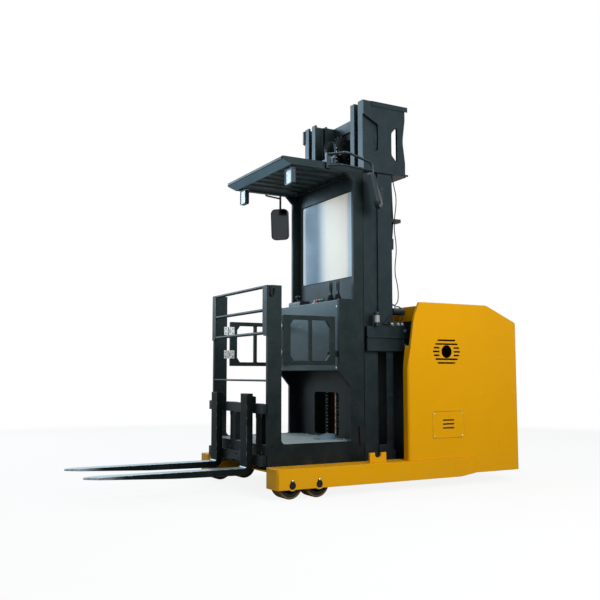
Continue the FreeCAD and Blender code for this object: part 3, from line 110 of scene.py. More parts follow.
# ---- settings ---------------------------------------------------------------------------------------
class PickerFinishes(bpy.types.PropertyGroup):
    """Colours of the truck's finishes."""
    body: colour_setting("Body paint", "CC9000", "Yellow paint of the cowls, hood and legs")
    frame: colour_setting("Frame paint", "131E21", "Dark paint of the chassis and the mast")
    cab: colour_setting("Cab paint", "151F1F", "Dark powder coat of the cab and the gates")
    desk: colour_setting("Desk paint", "2D4142", "Grey paint of the operator's desk")
    floor: colour_setting("Floor plate", "7E8C8E", "Chequered floor of the cab")
    forks: colour_setting("Fork paint", "0A1312", "Paint of the forks where it isn't worn off")
    steel: colour_setting("Bare steel", "C6CBCE", "Steel that shows where paint is worn")
    zinc: colour_setting("Zinc plate", "C4C9C8", "Plated hinges, bolts and nuts")
    tread: colour_setting("Wheel tread", "5E4512", "Cast polyurethane of the wheels")
    rubber: colour_setting("Rubber", "0E1112", "Hoses, boots and seals")
    plastic: colour_setting("Moulded plastic", "151B1E", "Mirror shells, lamps and knobs")
    pedal: colour_setting("Pedal rubber", "55707E", "Rubber of the foot pedal")
    dust: colour_setting("Dust", "8C867A", "Dust that settles on flat faces")


class PickerHardware(bpy.types.PropertyGroup):
    """Sizes of the small hardware."""
    bolt: length_setting("Bolt head", 0.0085, "Half the width of a frame bolt's head")
    screw: length_setting("Screw head", 0.0055, "Half the width of a cover screw's head")
    weld: length_setting("Weld bead", 0.0035, "Radius of a weld bead")
    ripple: length_setting("Weld ripple", 0.004, "Distance between the ripples of a bead")
    pitch: length_setting("Chain pitch", 0.0254, "Distance between the pins of the lift chains")
    link_width: length_setting("Link depth", 0.0185, "Depth of a chain plate at its pin")
    lozenge: length_setting("Tread lozenge", 0.021, "Length of a raised mark on the floor plate")
    lozenge_pitch: length_setting("Tread pitch", 0.026, "Distance between the marks on the floor plate")
    seal: length_setting("Pane seal", 0.009, "Width of the rubber seal round the rear pane")


class PickerStudio(bpy.types.PropertyGroup):
    """Camera, lamps and floor."""
    lens: bpy.props.FloatProperty(name="Lens", description="Focal length", default=47.39,
                                  subtype="DISTANCE_CAMERA")
    eye: bpy.props.FloatVectorProperty(name="Camera place", description="Where the camera stands",
                                       default=(5.161, -2.838, 0.803), subtype="TRANSLATION", unit="LENGTH")
    yaw: angle_setting("Turn", 60.91, "Camera's turn about the vertical")
    pitch: angle_setting("Rise", 5.36, "Camera's tilt above the level")
    backdrop: bpy.props.FloatProperty(name="Backdrop", description="Brightness of the backdrop",
                                      default=1.0)
    ambient: bpy.props.FloatProperty(name="Ambient", description="Even light from all round", default=0.4)
    key: lamp_setting("Key lamp", 235.0, "Power of the key lamp")
    front: lamp_setting("Front lamp", 330.0, "Power of the front lamp")
    top: lamp_setting("Top lamp", 200.0, "Power of the overhead lamp")


# ---- shader nodes -----------------------------------------------------------------------------------
class Net:
    """A node tree with short calls to add nodes and link them."""

    def __init__(self, tree):
        self.tree = tree

    def add(self, kind, values=None, **settings):
        node = self.tree.nodes.new("ShaderNode" + kind)
        for key, value in settings.items():
            setattr(node, key, value)
        for key, value in (values or {}).items():
            self.put(node.inputs[key], value)
        return node

    def put(self, socket, value):
        if isinstance(value, bpy.types.NodeSocket):
            self.tree.links.new(value, socket)
        else:
            socket.default_value = value

    def maths(self, operation, a, b=0.0, clamp=False):
        """One sum of two numbers, such as ADD or MULTIPLY."""
        return self.add("Math", {0: a, 1: b}, operation=operation, use_clamp=clamp).outputs[0]

    def step(self, value, low, high):
        """0 below low, 1 above high, smooth between."""
        return self.add("MapRange", {"Value": value, "From Min": low, "From Max": high},
                        interpolation_type="SMOOTHSTEP").outputs["Result"]

    def blend(self, share, a, b):
        """Colour a turning to colour b with the share."""
        return self.add("Mix", {0: share, 6: a, 7: b}, data_type="RGBA").outputs[2]

    def level(self, share, a, b):
        """Number a turning to number b with the share."""
        return self.add("Mix", {0: share, 2: a, 3: b}, data_type="FLOAT").outputs[0]

    def noise(self, place, scale, detail=3.0, rough=0.55):
        return self.add("TexNoise", {"Vector": place, "Scale": scale, "Detail": detail, "Roughness": rough}
                        ).outputs["Fac"]

    def axes(self, vector):
        """The vector's X, Y and Z."""
        return self.add("SeparateXYZ", {0: vector}).outputs

    def upward(self):
        """How far the face looks up, from -1 to 1."""
        return self.axes(self.add("NewGeometry").outputs["Normal"])["Z"]

    def drawn_out(self, place, stretch):
        """The place times the stretch, axis by axis, so that a pattern on it comes out long."""
        return self.add("VectorMath", {0: place, 1: stretch}, operation="MULTIPLY").outputs["Vector"]

    def group(self, name, values):
        """The outputs of one of the shared groups, fed with the values."""
        node = self.add("Group", node_tree=bpy.data.node_groups[name])
        for key, value in values.items():
            self.put(node.inputs[key], value)
        return node.outputs


def new_group(name, inputs, outputs):
    """An empty shader group with named sockets: (group input's sockets, its net, its output node)."""
    tree = bpy.data.node_groups.new(name, "ShaderNodeTree")
    for label, kind in inputs:
        tree.interface.new_socket(name=label, in_out="INPUT", socket_type="NodeSocket" + kind)
    for label, kind in outputs:
        tree.interface.new_socket(name=label, in_out="OUTPUT", socket_type="NodeSocket" + kind)
    net = Net(tree)
    source = tree.nodes.new("NodeGroupInput")
    sink = tree.nodes.new("NodeGroupOutput")
    return source.outputs, net, sink.inputs


def mottled_colour():
    """The colour's brightness follows slow noise, up and down by Amount."""
    given, net, out = new_group("Mottled colour", [("Place", "Vector"), ("Colour", "Color"),
                                                   ("Amount", "Float")], [("Colour", "Color")])
    slow = net.maths("SUBTRACT", net.noise(given["Place"], 2.6, 4.0), 0.5)
    value = net.maths("ADD", net.maths("MULTIPLY", slow, given["Amount"]), 1.0)
    mottled = net.add("HueSaturation", {"Value": value, "Color": given["Colour"]})
    net.put(out["Colour"], mottled.outputs["Color"])


def edge_wear_and_highlight():
    """Wear and a painted edge highlight where the rounded normal leaves the face's own, broken up by noise."""
    given, net, out = new_group("Edge wear and highlight", [("Place", "Vector"), ("Rounded", "Vector"),
                                              ("Amount", "Float")], [("Mask", "Float")])
    flat = net.add("NewGeometry").outputs["Normal"]
    agree = net.add("VectorMath", {0: given["Rounded"], 1: flat}, operation="DOT_PRODUCT").outputs["Value"]
    edge = net.step(net.maths("SUBTRACT", 1.0, agree), 0.015, 0.16)
    broken = net.step(net.noise(given["Place"], 34.0, 6.0, 0.7), 0.44, 0.66)
    worn = net.maths("MULTIPLY", net.maths("MULTIPLY", edge, broken), given["Amount"])
    net.put(out["Mask"], net.maths("MINIMUM", worn, 1.0))


def paint_grain():
    """A fine orange peel and a slow change of gloss."""
    given, net, out = new_group("Paint grain", [("Place", "Vector"), ("Scale", "Float")],
                                [("Height", "Float"), ("Gloss", "Float")])
    fine = net.noise(given["Place"], given["Scale"], 2.0)
    slow = net.noise(given["Place"], 7.0, 4.0, 0.6)
    net.put(out["Height"], fine)
    uneven = net.maths("ADD", net.maths("MULTIPLY", fine, 0.3), slow)
    net.put(out["Gloss"], net.maths("SUBTRACT", uneven, 0.65))


def settled_dust():
    """Dust that lies most on faces that look up, and a splash that fades with height above the floor."""
    given, net, out = new_group("Settled dust", [("Place", "Vector"), ("Amount", "Float"),
                                                 ("Splash", "Float")], [("Mask", "Float")])
    low = net.maths("SUBTRACT", 1.0, net.step(net.axes(given["Place"])["Z"], 0.02, given["Splash"]))
    lying = net.maths("ADD", net.maths("MULTIPLY", net.step(net.upward(), 0.3, 1.0), 0.7), low)
    patches = net.step(net.noise(given["Place"], 9.0, 7.0, 0.68), 0.3, 0.8)
    mask = net.maths("MULTIPLY", net.maths("MULTIPLY", lying, patches), given["Amount"])
    net.put(out["Mask"], net.maths("MINIMUM", mask, 1.0))


def scuffs():
    """Thin scratches along one axis, from noise that the Stretch vector draws out."""
    given, net, out = new_group("Scuffs", [("Place", "Vector"), ("Stretch", "Vector"), ("Amount", "Float")],
                                [("Mask", "Float")])
    lines = net.step(net.noise(net.drawn_out(given["Place"], given["Stretch"]), 1.0, 5.0, 0.75), 0.56, 0.7)
    patches = net.step(net.noise(given["Place"], 5.0, 2.0), 0.4, 0.62)
    net.put(out["Mask"], net.maths("MULTIPLY", net.maths("MULTIPLY", lines, patches), given["Amount"]))


def low_painted_shade():
    """Painted shade: the colour turns to the darker shade colour towards the floor, by Amount at most."""
    given, net, out = new_group("Low painted shade", [("Place", "Vector"), ("Colour", "Color"), ("Shade", "Color"),
                                              ("Amount", "Float")], [("Colour", "Color")])
    low = net.maths("SUBTRACT", 1.0, net.step(net.axes(given["Place"])["Z"], 0.0, SHADE_HEIGHT))
    share = net.maths("MULTIPLY", low, given["Amount"])
    net.put(out["Colour"], net.blend(share, given["Colour"], given["Shade"]))


def finish(name, colour, roughness, wear=0.0, bare=None, bare_metal=0.0, dust=0.2, splash=0.5, mottle=0.16,
           grain=(900.0, 0.00012), rounding=0.0016, metallic=0.0, coat=0.0, scuff=0.0,
           stretch=(120.0, 3.0, 40.0), pattern=None, specular=0.5, gleam=(1.0, 1.0, 1.0), low_shade=0.0, backdrop_and_painted_glow=0.0):
    """A surface material: mottled colour, worn edges that are partly a painted edge highlight, scuffs and dust
    over grain. grain is the scale and height of the orange peel. pattern may change the colour, roughness,
    metallic or height sockets before the wear; low_shade darkens the paint towards the floor as painted shade,
    and backdrop_and_painted_glow is painted light: a glow in the sheet's own colour, so that a milky sheet
    looks lit through."""
    style = bpy.context.scene.picker_finishes
    bare = tuple(bare or style.steel)
    material = bpy.data.materials.new(name)
    material.use_nodes = True
    net = Net(material.node_tree)
    material.node_tree.nodes.clear()
    place = net.add("TexCoord").outputs["Object"]
    base = net.group("Mottled colour", {"Place": place, "Colour": (*colour, 1.0),
                                        "Amount": mottle})["Colour"]
    fine = net.group("Paint grain", {"Place": place, "Scale": grain[0]})
    shine = net.maths("ADD", net.maths("MULTIPLY", fine["Gloss"], GLOSS_DRIFT), roughness, clamp=True)
    metal = metallic
    height = fine["Height"]
    if pattern:
        base, shine, metal, height = pattern(net, place, base, shine, metal, height)
    # Painted shade: the paint turns darker towards the floor.
    if low_shade:
        shade_colour = (*(SHADE_SHARE * c for c in colour), 1.0)
        base = net.group("Low painted shade", {"Place": place, "Colour": base, "Shade": shade_colour,
                                       "Amount": low_shade})["Colour"]
    rounded = net.add("Bevel", {"Radius": rounding}, samples=4).outputs["Normal"]
    # The edges turn to the lighter bare colour: partly wear, partly a painted edge highlight.
    if wear or scuff:
        worn = net.group("Edge wear and highlight", {"Place": place, "Rounded": rounded, "Amount": wear})["Mask"]
        if scuff:
            marks = net.group("Scuffs", {"Place": place, "Stretch": stretch, "Amount": scuff})["Mask"]
            worn = net.maths("MAXIMUM", worn, marks)
        base = net.blend(worn, base, (*bare, 1.0))
        shine = net.level(worn, shine, WORN_ROUGHNESS)
        if bare_metal:
            metal = net.level(worn, metal, bare_metal)
    if dust:
        settled = net.group("Settled dust", {"Place": place, "Amount": dust, "Splash": splash})["Mask"]
        base = net.blend(settled, base, (*style.dust, 1.0))
        shine = net.level(settled, shine, DUST_ROUGHNESS)
    bump = net.add("Bump", {"Height": height, "Distance": grain[1], "Normal": rounded, "Strength": 1.0})
    shader = net.add("BsdfPrincipled", {"Base Color": base, "Roughness": shine, "Metallic": metal,
                                        "Normal": bump.outputs["Normal"], "Coat Weight": coat,
                                        "Coat Roughness": 0.12, "Specular IOR Level": specular,
                                        "Specular Tint": (*gleam, 1.0)})
    # Painted light: the surface glows in its own colour, though it is no lamp.
    if backdrop_and_painted_glow:
        net.put(shader.inputs["Emission Color"], base)
        net.put(shader.inputs["Emission Strength"], backdrop_and_painted_glow)
    net.put(net.add("OutputMaterial").inputs["Surface"], shader.outputs["BSDF"])


def painted_pane_reflections(net, place, base, shine, metal, height):
    """Painted reflections: broad soft light and dark bands across the milky pane."""
    low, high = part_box("rear_pane")
    drift = net.maths("MULTIPLY", net.maths("SUBTRACT", net.noise(place, 1.7, 2.0), 0.5), 0.05)
    along = net.add("MapRange", {"Value": net.maths("ADD", net.axes(place)["X"], drift), "From Min": low.x,
                                 "From Max": high.x})
    ramp = net.add("ValToRGB", {"Fac": along.outputs["Result"]})
    stops = [(0.0, "F4F6F6"), (0.045, "DCE3E8"), (0.08, "526F85"), (0.27, "203F55"), (0.34, "4E6E84"),
             (0.42, "C8CCCE"), (0.52, "FFF4E4"), (0.74, "FFF5DE"), (0.88, "FFF3E0"), (0.93, "93A9B8"),
             (1.0, "C3CFD6")]
    while len(ramp.color_ramp.elements) < len(stops):
        ramp.color_ramp.elements.new(0.5)
    for element, (position, code) in zip(ramp.color_ramp.elements, stops):
        element.position = position
        element.color = (*tint(code), 1.0)
    ramp.color_ramp.interpolation = "B_SPLINE"
    return ramp.outputs["Color"], shine, metal, height


def blade_polish(net, place, base, shine, metal, height):
    """Paint rubbed to bright steel on the blade's upper face and round its tip, in streaks along it."""
    axes = net.axes(place)
    low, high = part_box("fork_left")
    streaks = net.noise(net.drawn_out(place, (160.0, 5.0, 60.0)), 1.0, 5.0, 0.7)
    forward = net.maths("SUBTRACT", 1.0, net.step(axes["Y"], low.y + 0.116, high.y - 0.073))
    rubbed = net.maths("MAXIMUM", net.step(streaks, 0.25, 0.6), net.maths("MULTIPLY", forward, 0.95))
    top = net.maths("MULTIPLY", net.step(net.upward(), 0.25, 0.8), rubbed)
    tip = net.maths("SUBTRACT", 1.0, net.step(axes["Y"], low.y - 0.004, low.y + 0.266))
    edge = net.maths("MULTIPLY", tip, net.step(streaks, 0.3, 0.6))
    blade = net.maths("SUBTRACT", 1.0, net.step(axes["Z"], low.z + 0.069, low.z + 0.189))
    worn = net.maths("MULTIPLY", net.maths("MAXIMUM", top, edge), blade)
    style = bpy.context.scene.picker_finishes
    return (net.blend(worn, base, (*style.steel, 1.0)), net.level(worn, shine, 0.3),
            net.level(worn, metal, 1.0), height)


def moulded_rings(net, place, base, shine, metal, height):
    """Faint rings about the wheel's axle, left by turning the tread."""
    rings = net.add("TexWave", {"Vector": place, "Scale": 160.0, "Distortion": 1.5, "Detail": 2.0},
                    wave_type="BANDS", bands_direction="X").outputs["Fac"]
    return base, shine, metal, net.maths("ADD", height, net.maths("MULTIPLY", rings, 0.6))


def lens_ribs(net, place, base, shine, metal, height):
    """Upright ribs of a lamp's lens, with dark bands between its cells."""
    ribs = net.add("TexWave", {"Vector": place, "Scale": 95.0}, wave_type="BANDS", bands_direction="X")
    cells = net.add("TexWave", {"Vector": place, "Scale": 32.0}, wave_type="BANDS", bands_direction="Z")
    dark = net.step(cells.outputs["Fac"], 0.72, 0.9)
    return net.blend(dark, base, (0.08, 0.1, 0.11, 1.0)), shine, metal, ribs.outputs["Fac"]


def painted_finishes(style):
    """Paints of the body, the frame, the cab, the desk, the floor plate and the forks."""
    # The light yellow on the body's worn edges is partly a painted edge highlight.
    finish("body_yellow", style.body, 0.3, wear=0.4, bare=(0.9, 0.68, 0.22), dust=0.05, splash=0.3,
           mottle=0.08, rounding=0.005, grain=(700.0, 0.0001), scuff=0.04, specular=0.2, gleam=WARM)
    finish("frame_dark", style.frame, 0.36, wear=0.6, bare=WORN_DARK_AND_HIGHLIGHT, dust=0.04, splash=0.0, mottle=0.3,
           rounding=0.003, scuff=0.08, specular=0.24, gleam=COOL, low_shade=0.75)
    finish("cab_dark", style.cab, 0.38, wear=0.6, bare=WORN_DARK_AND_HIGHLIGHT, dust=0.04, splash=0.0, mottle=0.28,
           grain=(1300.0, 0.0002), rounding=0.003, scuff=0.1, specular=0.15, gleam=COOL, low_shade=0.9)
    # Painted highlight: a lighter blue-grey paint on the roof's slanted nose, for the light that falls on it.
    finish("nose_sheen", (0.17, 0.32, 0.4), 0.3, wear=0.4, bare=WORN_DARK_AND_HIGHLIGHT, dust=0.03, mottle=0.2,
           rounding=0.003, gleam=COOL)
    finish("desk_grey", style.desk, 0.38, wear=0.5, bare=(0.3, 0.34, 0.36), dust=0.05, mottle=0.3,
           grain=(1300.0, 0.0002), scuff=0.3, stretch=(10.0, 60.0, 90.0), specular=0.3, gleam=COOL)
    finish("floor_plate", style.floor, 0.5, wear=0.4, dust=0.3, mottle=0.4, scuff=0.5,
           stretch=(30.0, 60.0, 1.0))
    finish("blade_paint", style.forks, 0.36, wear=1.0, bare_metal=1.0, dust=0.03, splash=0.0,
           pattern=blade_polish, rounding=0.004, specular=0.05, gleam=COOL)
    finish("battery_shell", (0.01, 0.011, 0.012), 0.6, wear=0.4, bare=WORN_DARK_AND_HIGHLIGHT, dust=0.08, specular=0.15)
    finish("canister_grey", (0.24, 0.26, 0.25), 0.4, mottle=0.3, rounding=0.002)


def metal_finishes(style):
    """Chains, chrome, plated and blackened hardware, and weld beads."""
    plated = (0.4, 0.38, 0.34)
    finish("link_steel", (0.022, 0.028, 0.03), 0.4, wear=0.7, bare=(0.17, 0.2, 0.21), bare_metal=1.0,
           dust=0.02, metallic=0.5, rounding=0.0008, specular=0.2, gleam=COOL)
    finish("chain_pins", (0.62, 0.62, 0.6), 0.28, dust=0.05, metallic=1.0, rounding=0.0006)
    finish("bright_steel", style.steel, 0.3, dust=0.1, metallic=1.0, mottle=0.3, scuff=0.3,
           bare=(0.2, 0.2, 0.2))
    # Painted reflection: the rod's copper-brown colour stands for brown surroundings mirrored in its chrome.
    finish("chrome_rod", (0.62, 0.33, 0.22), 0.36, dust=0.0, metallic=1.0, mottle=0.05,
           grain=(60.0, 0.00001))
    finish("zinc_plate", style.zinc, 0.32, wear=0.4, bare=plated, dust=0.08, metallic=0.85, mottle=0.3,
           rounding=0.0008)
    finish("dull_zinc", (0.26, 0.3, 0.32), 0.42, wear=0.4, bare=plated, dust=0.08, metallic=0.8,
           mottle=0.3, rounding=0.0008)
    finish("black_oxide", (0.02, 0.022, 0.023), 0.4, wear=0.5, bare=(0.16, 0.17, 0.17), bare_metal=1.0,
           dust=0.04, rounding=0.0008, specular=0.25)
    finish("blued_steel", (0.07, 0.15, 0.16), 0.35, wear=0.5, bare=(0.3, 0.36, 0.37), bare_metal=1.0,
           dust=0.04, metallic=0.4, rounding=0.0008, specular=0.4)
    finish("weld_metal", (0.045, 0.05, 0.052), 0.38, wear=0.6, bare=WORN_DARK_AND_HIGHLIGHT, dust=0.1, rounding=0.0006)
    finish("weld_yellow", tuple(0.86 * c for c in style.body), 0.38, wear=0.3, bare=(0.9, 0.6, 0.2),
           rounding=0.0006)


def moulded_finishes(style):
    """Rubber, mouldings, wheels and buttons."""
    finish("rubber", style.rubber, 0.55, wear=0.3, bare=(0.05, 0.05, 0.05), dust=0.05, mottle=0.5,
           grain=(2200.0, 0.00018), rounding=0.0008, specular=0.16)
    finish("moulded_black", style.plastic, 0.36, wear=0.3, bare=(0.07, 0.08, 0.085), dust=0.05,
           grain=(2600.0, 0.00014), rounding=0.0025, specular=0.4, gleam=COOL)
    finish("pedal_tread", style.pedal, 0.55, wear=0.6, bare=(0.25, 0.3, 0.33), dust=0.3, mottle=0.4,
           grain=(1500.0, 0.0003))
    finish("tread_urethane", style.tread, 0.5, wear=0.5, bare=(0.1, 0.08, 0.05), dust=0.12, splash=0.3,
           mottle=0.5, pattern=moulded_rings, rounding=0.003, specular=0.2)
    finish("wheel_black", (0.008, 0.009, 0.01), 0.5, wear=0.4, bare=(0.04, 0.04, 0.04), dust=0.02,
           splash=0.2, mottle=0.3, specular=0.12)
    finish("button_red", (0.34, 0.015, 0.015), 0.3, dust=0.1, coat=0.5, rounding=0.001)
    finish("button_green", (0.012, 0.17, 0.07), 0.3, dust=0.1, coat=0.5, rounding=0.001)


def clear_finishes():
    """The lamps' lenses, the mirrors' glass and the milky pane behind the mast."""
    finish("lens_clear", (0.42, 0.46, 0.48), 0.14, dust=0.08, mottle=0.2, coat=1.0, pattern=lens_ribs,
           grain=(900.0, 0.0006), rounding=0.001)
    finish("mirror_glass", (0.045, 0.052, 0.056), 0.08, dust=0.05, metallic=1.0, mottle=0.05,
           grain=(30.0, 0.00001), rounding=0.0005)
    # The milky pane carries painted reflection bands and a painted glow.
    finish("milky_pane", (0.9, 0.9, 0.9), 0.3, dust=0.03, mottle=0.05, pattern=painted_pane_reflections,
           grain=(4.0, 0.0003), rounding=0.001, specular=0.15, backdrop_and_painted_glow=0.18)


# ---- finishes on the frame's own solids -------------------------------------------------------------
def triangles(node):
    """The corners of a CAD node's triangles, as an array (count, 3, 3), and their unit normals."""
    mesh = frame["nodes"][node].data
    count = len(mesh.polygons)
    points = np.empty(len(mesh.vertices) * 3)
    mesh.vertices.foreach_get("co", points)
    corners = np.empty(len(mesh.loops), dtype=np.int64)
    mesh.loops.foreach_get("vertex_index", corners)
    normals = np.empty(count * 3)
    mesh.polygons.foreach_get("normal", normals)
    return points.reshape(-1, 3)[corners].reshape(count, 3, 3), normals.reshape(count, 3)


def within(node, low, high, facing=None, limit=0.9):
    """True for each triangle that lies wholly in the box and, if facing is given, looks that way."""
    corners, normals = triangles(node)
    inside = ((corners >= np.array(low)) & (corners <= np.array(high))).all(axis=(1, 2))
    if facing is not None:
        inside &= normals @ np.array(facing) > limit
    return inside


def dress(node, material, regions=()):
    """Gives a CAD node its material, and each region (material, mask) of its triangles another."""
    mesh = frame["nodes"][node].data
    mesh.materials.clear()
    mesh.materials.append(bpy.data.materials[material])
    index = np.zeros(len(mesh.polygons), dtype=np.int32)
    for other, mask in regions:
        mesh.materials.append(bpy.data.materials[other])
        index[mask] = len(mesh.materials) - 1
    mesh.polygons.foreach_set("material_index", index)


PLAIN_FINISHES = {
    "body_yellow": ["leg_brackets", "service_covers", "top_cover", "rear_panel"],
    "frame_dark": ["chassis_frame", "bulkhead", "outer_rail_left", "outer_rail_right", "inner_rail_left",
                   "inner_rail_right", "mast_head", "mast_support", "drive_unit", "inner_ties",
                   "lift_barrel"],
    "cab_dark": ["rear_wall", "front_guard", "fork_carriage"],
    "desk_grey": ["console"],
    "battery_shell": ["battery_block"],
    "blade_paint": ["fork_left", "fork_right"],
    "black_oxide": ["chain_sheaves"],
    "link_steel": ["chains_front", "chains_rear"],
    "chrome_rod": ["lift_rod"],
    "pedal_tread": ["foot_pedal"],
    "milky_pane": ["rear_pane"],
    "wheel_black": ["drive_hub", "load_hub_front_left", "load_hub_front_right", "load_hub_rear_left",
                    "load_hub_rear_right"],
    "tread_urethane": ["drive_tyre", "load_tread_front_left", "load_tread_front_right",
                       "load_tread_rear_left", "load_tread_rear_right"],
}


def recess(node, low, high, depth):
    """Triangles in the box that lie at least depth inside the node's outer side, and its cut edges."""
    corners, normals = triangles(node)
    outer = np.abs(corners[:, :, 0]).max()
    sunk = np.abs(corners[:, :, 0]).max(axis=1) < outer - depth
    edge = np.abs(normals[:, 0]) < 0.3
    return within(node, low, high) & (sunk | edge)


def hinge_region(node, side):
    """The plated hinge halves beside the gate's pin."""
    x = sorted((side * 0.400, side * 0.437))
    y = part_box("gate_left")[0].y
    halves = [within(node, (x[0], y - 0.04, z), (x[1], y + 0.05, z + 0.1)) for z in HINGES]
    return halves[0] | halves[1]


def glass_region(node, side):
    """The glass of the mirror on one side: its largest flat face, which looks towards the forks."""
    corners, normals = triangles(node)
    area = np.linalg.norm(np.cross(corners[:, 1] - corners[:, 0], corners[:, 2] - corners[:, 0]), axis=1)
    ours = (corners[:, :, 0].mean(axis=1) * side > 0.0) & (normals[:, 1] < -0.3)
    largest = np.argmax(np.where(ours, area, 0.0))
    depth = corners.mean(axis=1) @ normals[largest]
    return ours & (normals @ normals[largest] > 0.995) & (np.abs(depth - depth[largest]) < 0.001)


def paint_side(name, side):
    """One side's leg with its wheel wells, cowl with its vent slots, cab frame and gate."""
    sunk = 0.0006
    leg, cowl, cab, gate = "leg_" + name, "cowl_" + name, "cab_side_" + name, "gate_" + name
    low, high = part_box(leg)
    front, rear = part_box("load_hub_front_" + name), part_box("load_hub_rear_" + name)
    wells = recess(leg, (low.x, front[0].y + 0.02, low.z + 0.004),
                   (high.x, rear[1].y - 0.014, rear[1].z - 0.002), sunk)
    dress(leg, "body_yellow", [("wheel_black", wells)])
    low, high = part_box(cowl)
    # Painted shade: the recesses of the vent slots are painted black for the dark inside of the cowl.
    slots = recess(cowl, (low.x, low.y + 0.136, high.z - 0.42), (high.x, high.y - 0.517, high.z - 0.12), sunk)
    dress(cowl, "body_yellow", [("wheel_black", slots)])
    low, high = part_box(cab)
    x = sorted((side * (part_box("roof_guard")[1].x - 0.001), side * 0.6))
    pad = within(cab, (x[0], high.y - 0.145, low.z + 0.015), (x[1], high.y + 0.005, low.z + 0.415))
    dress(cab, "cab_dark", [("zinc_plate", hinge_region(cab, side)), ("rubber", pad)])
    dress(gate, "cab_dark", [("zinc_plate", hinge_region(gate, side))])


def paint_cab():
    """The floor plate on the platform, the roof's slanted nose with its painted highlight, the lamps, the
    mirrors and the levers.
    """
    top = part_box("platform")[1].z
    plate = within("platform", (-1, -1, top - 0.003), (1, 1, top + 0.003), FACES["z"])
    dress("platform", "cab_dark", [("floor_plate", plate)])
    low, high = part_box("roof_guard")
    nose = within("roof_guard", (-1, low.y - 0.01, low.z - 0.01), (1, low.y + 0.09, high.z - 0.002),
                  (0.0, -0.35, -0.937), 0.97)
    dress("roof_guard", "cab_dark", [("nose_sheen", nose)])
    low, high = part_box("lamps")
    lenses = within("lamps", (-1, low.y + 0.002, low.z), (1, low.y + 0.02, high.z), FACES["-y"])
    dress("lamps", "moulded_black", [("lens_clear", lenses)])
    glass = glass_region("mirrors", 1.0) | glass_region("mirrors", -1.0)
    dress("mirrors", "moulded_black", [("mirror_glass", glass)])
    low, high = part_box("controls")
    blades = within("controls", (high.x - 0.166, low.y - 0.015, low.z - 0.009),
                    (high.x + 0.034, high.y - 0.005, low.z + 0.051))
    dress("controls", "moulded_black", [("rubber", blades)])


def paint_hydraulics():
    """The canister's grey bowl and the hoses' dark clamp."""
    low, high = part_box("hydraulic_fittings")
    bowl = within("hydraulic_fittings", (high.x - 0.056, low.y - 0.067, BEAM_TOP + 0.024),
                  (high.x + 0.014, low.y + 0.063, BEAM_TOP + 0.0785))
    dress("hydraulic_fittings", "moulded_black", [("canister_grey", bowl)])
    low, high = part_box("mast_hoses")
    clamp = within("mast_hoses", (low.x, low.y, high.z - 0.355), (high.x, high.y, high.z - 0.32))
    dress("mast_hoses", "rubber", [("black_oxide", clamp)])


class PICKER_OT_paint(bpy.types.Operator):
    """Gives every solid of the frame its finish"""
    bl_idname = "picker.paint"
    bl_label = "Paint the frame"

    def execute(self, context):
        for build_group in (mottled_colour, edge_wear_and_highlight, paint_grain, settled_dust, scuffs, low_painted_shade):
            build_group()
        style = context.scene.picker_finishes
        for build_some in (painted_finishes, metal_finishes, moulded_finishes):
            build_some(style)
        clear_finishes()
        for material, nodes in PLAIN_FINISHES.items():
            for node in nodes:
                dress(node, material)
        for name, side in HANDS:
            paint_side(name, side)
        paint_cab()
        paint_hydraulics()
        return {"FINISHED"}


# ---- surfaces worked out as arrays ------------------------------------------------------------------
class Stock:
    """Collects stacks of rings and turns them into one mesh."""

    def __init__(self):
        self.points, self.faces, self.marks, self.total = [], [], [], 0

    def stack(self, rings, mark=0, capped=True, looped=False):
        """rings is an array (n, m, 3). Each ring is joined to the next point by point; looped joins the
        last to the first, and capped closes both ends with one face each. mark picks the material."""
        n, m = rings.shape[:2]
        index = np.arange(n * m).reshape(n, m) + self.total
        next_ring = np.roll(index, -1, axis=0)
        if not looped:
            index, next_ring = index[:-1], next_ring[:-1]
        after, next_after = np.roll(index, -1, axis=1), np.roll(next_ring, -1, axis=1)
        faces = np.stack([index, after, next_after, next_ring], axis=-1).reshape(-1, 4).tolist()
        if capped and not looped:
            faces += [index[0, ::-1].tolist(), next_ring[-1].tolist()]
        self.faces += faces
        self.marks += [mark] * len(faces)
        self.points.append(rings.reshape(-1, 3))
        self.total += n * m

    def copies(self, template, places, normals, mark=0, turn=(0.3, 0.5, 0.81)):
        """Copies of a ring template (n, m, 3) drawn about +Z: its z runs along each normal, and its x along
        turn as nearly as that allows. All copies are worked out as one array."""
        places, normals = np.asarray(places, float), np.asarray(normals, float)
        side = np.cross(np.cross(normals, np.array(turn)), normals)
        side /= np.linalg.norm(side, axis=1)[:, None]
        basis = np.stack([side, np.cross(normals, side), normals], axis=1)
        for one in np.einsum("nmi,kij->knmj", template, basis) + places[:, None, None, :]:
            self.stack(one, mark)

    def finish(self, name, body, slot, materials, smooth=False):
        """Makes the mesh, its materials and its object, which rides on the body."""
        mesh = bpy.data.meshes.new(name)
        mesh.from_pydata(np.concatenate(self.points).tolist(), [], self.faces)
        for material in materials:
            mesh.materials.append(bpy.data.materials[material])
        mesh.polygons.foreach_set("material_index", np.array(self.marks, dtype=np.int32))
        mesh.polygons.foreach_set("use_smooth", np.full(len(mesh.polygons), smooth))
        mesh.update()
        thing = bpy.data.objects.new(name, mesh)
        bpy.context.scene.collection.objects.link(thing)
        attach(thing, body)
        return thing


def circle(count, radius=1.0):
    """count points (cos t, sin t) * radius."""
    t = np.arange(count) * (2 * np.pi / count)
    return np.stack([np.cos(t), np.sin(t)], axis=1) * radius


def hexagon(sides=12):
    """Unit hexagon with a point at each corner and at the middle of each side."""
    reach = np.where(np.arange(sides) % 2 == 0, 1.0, math.cos(math.pi / 6))
    return circle(sides) * reach[:, None]


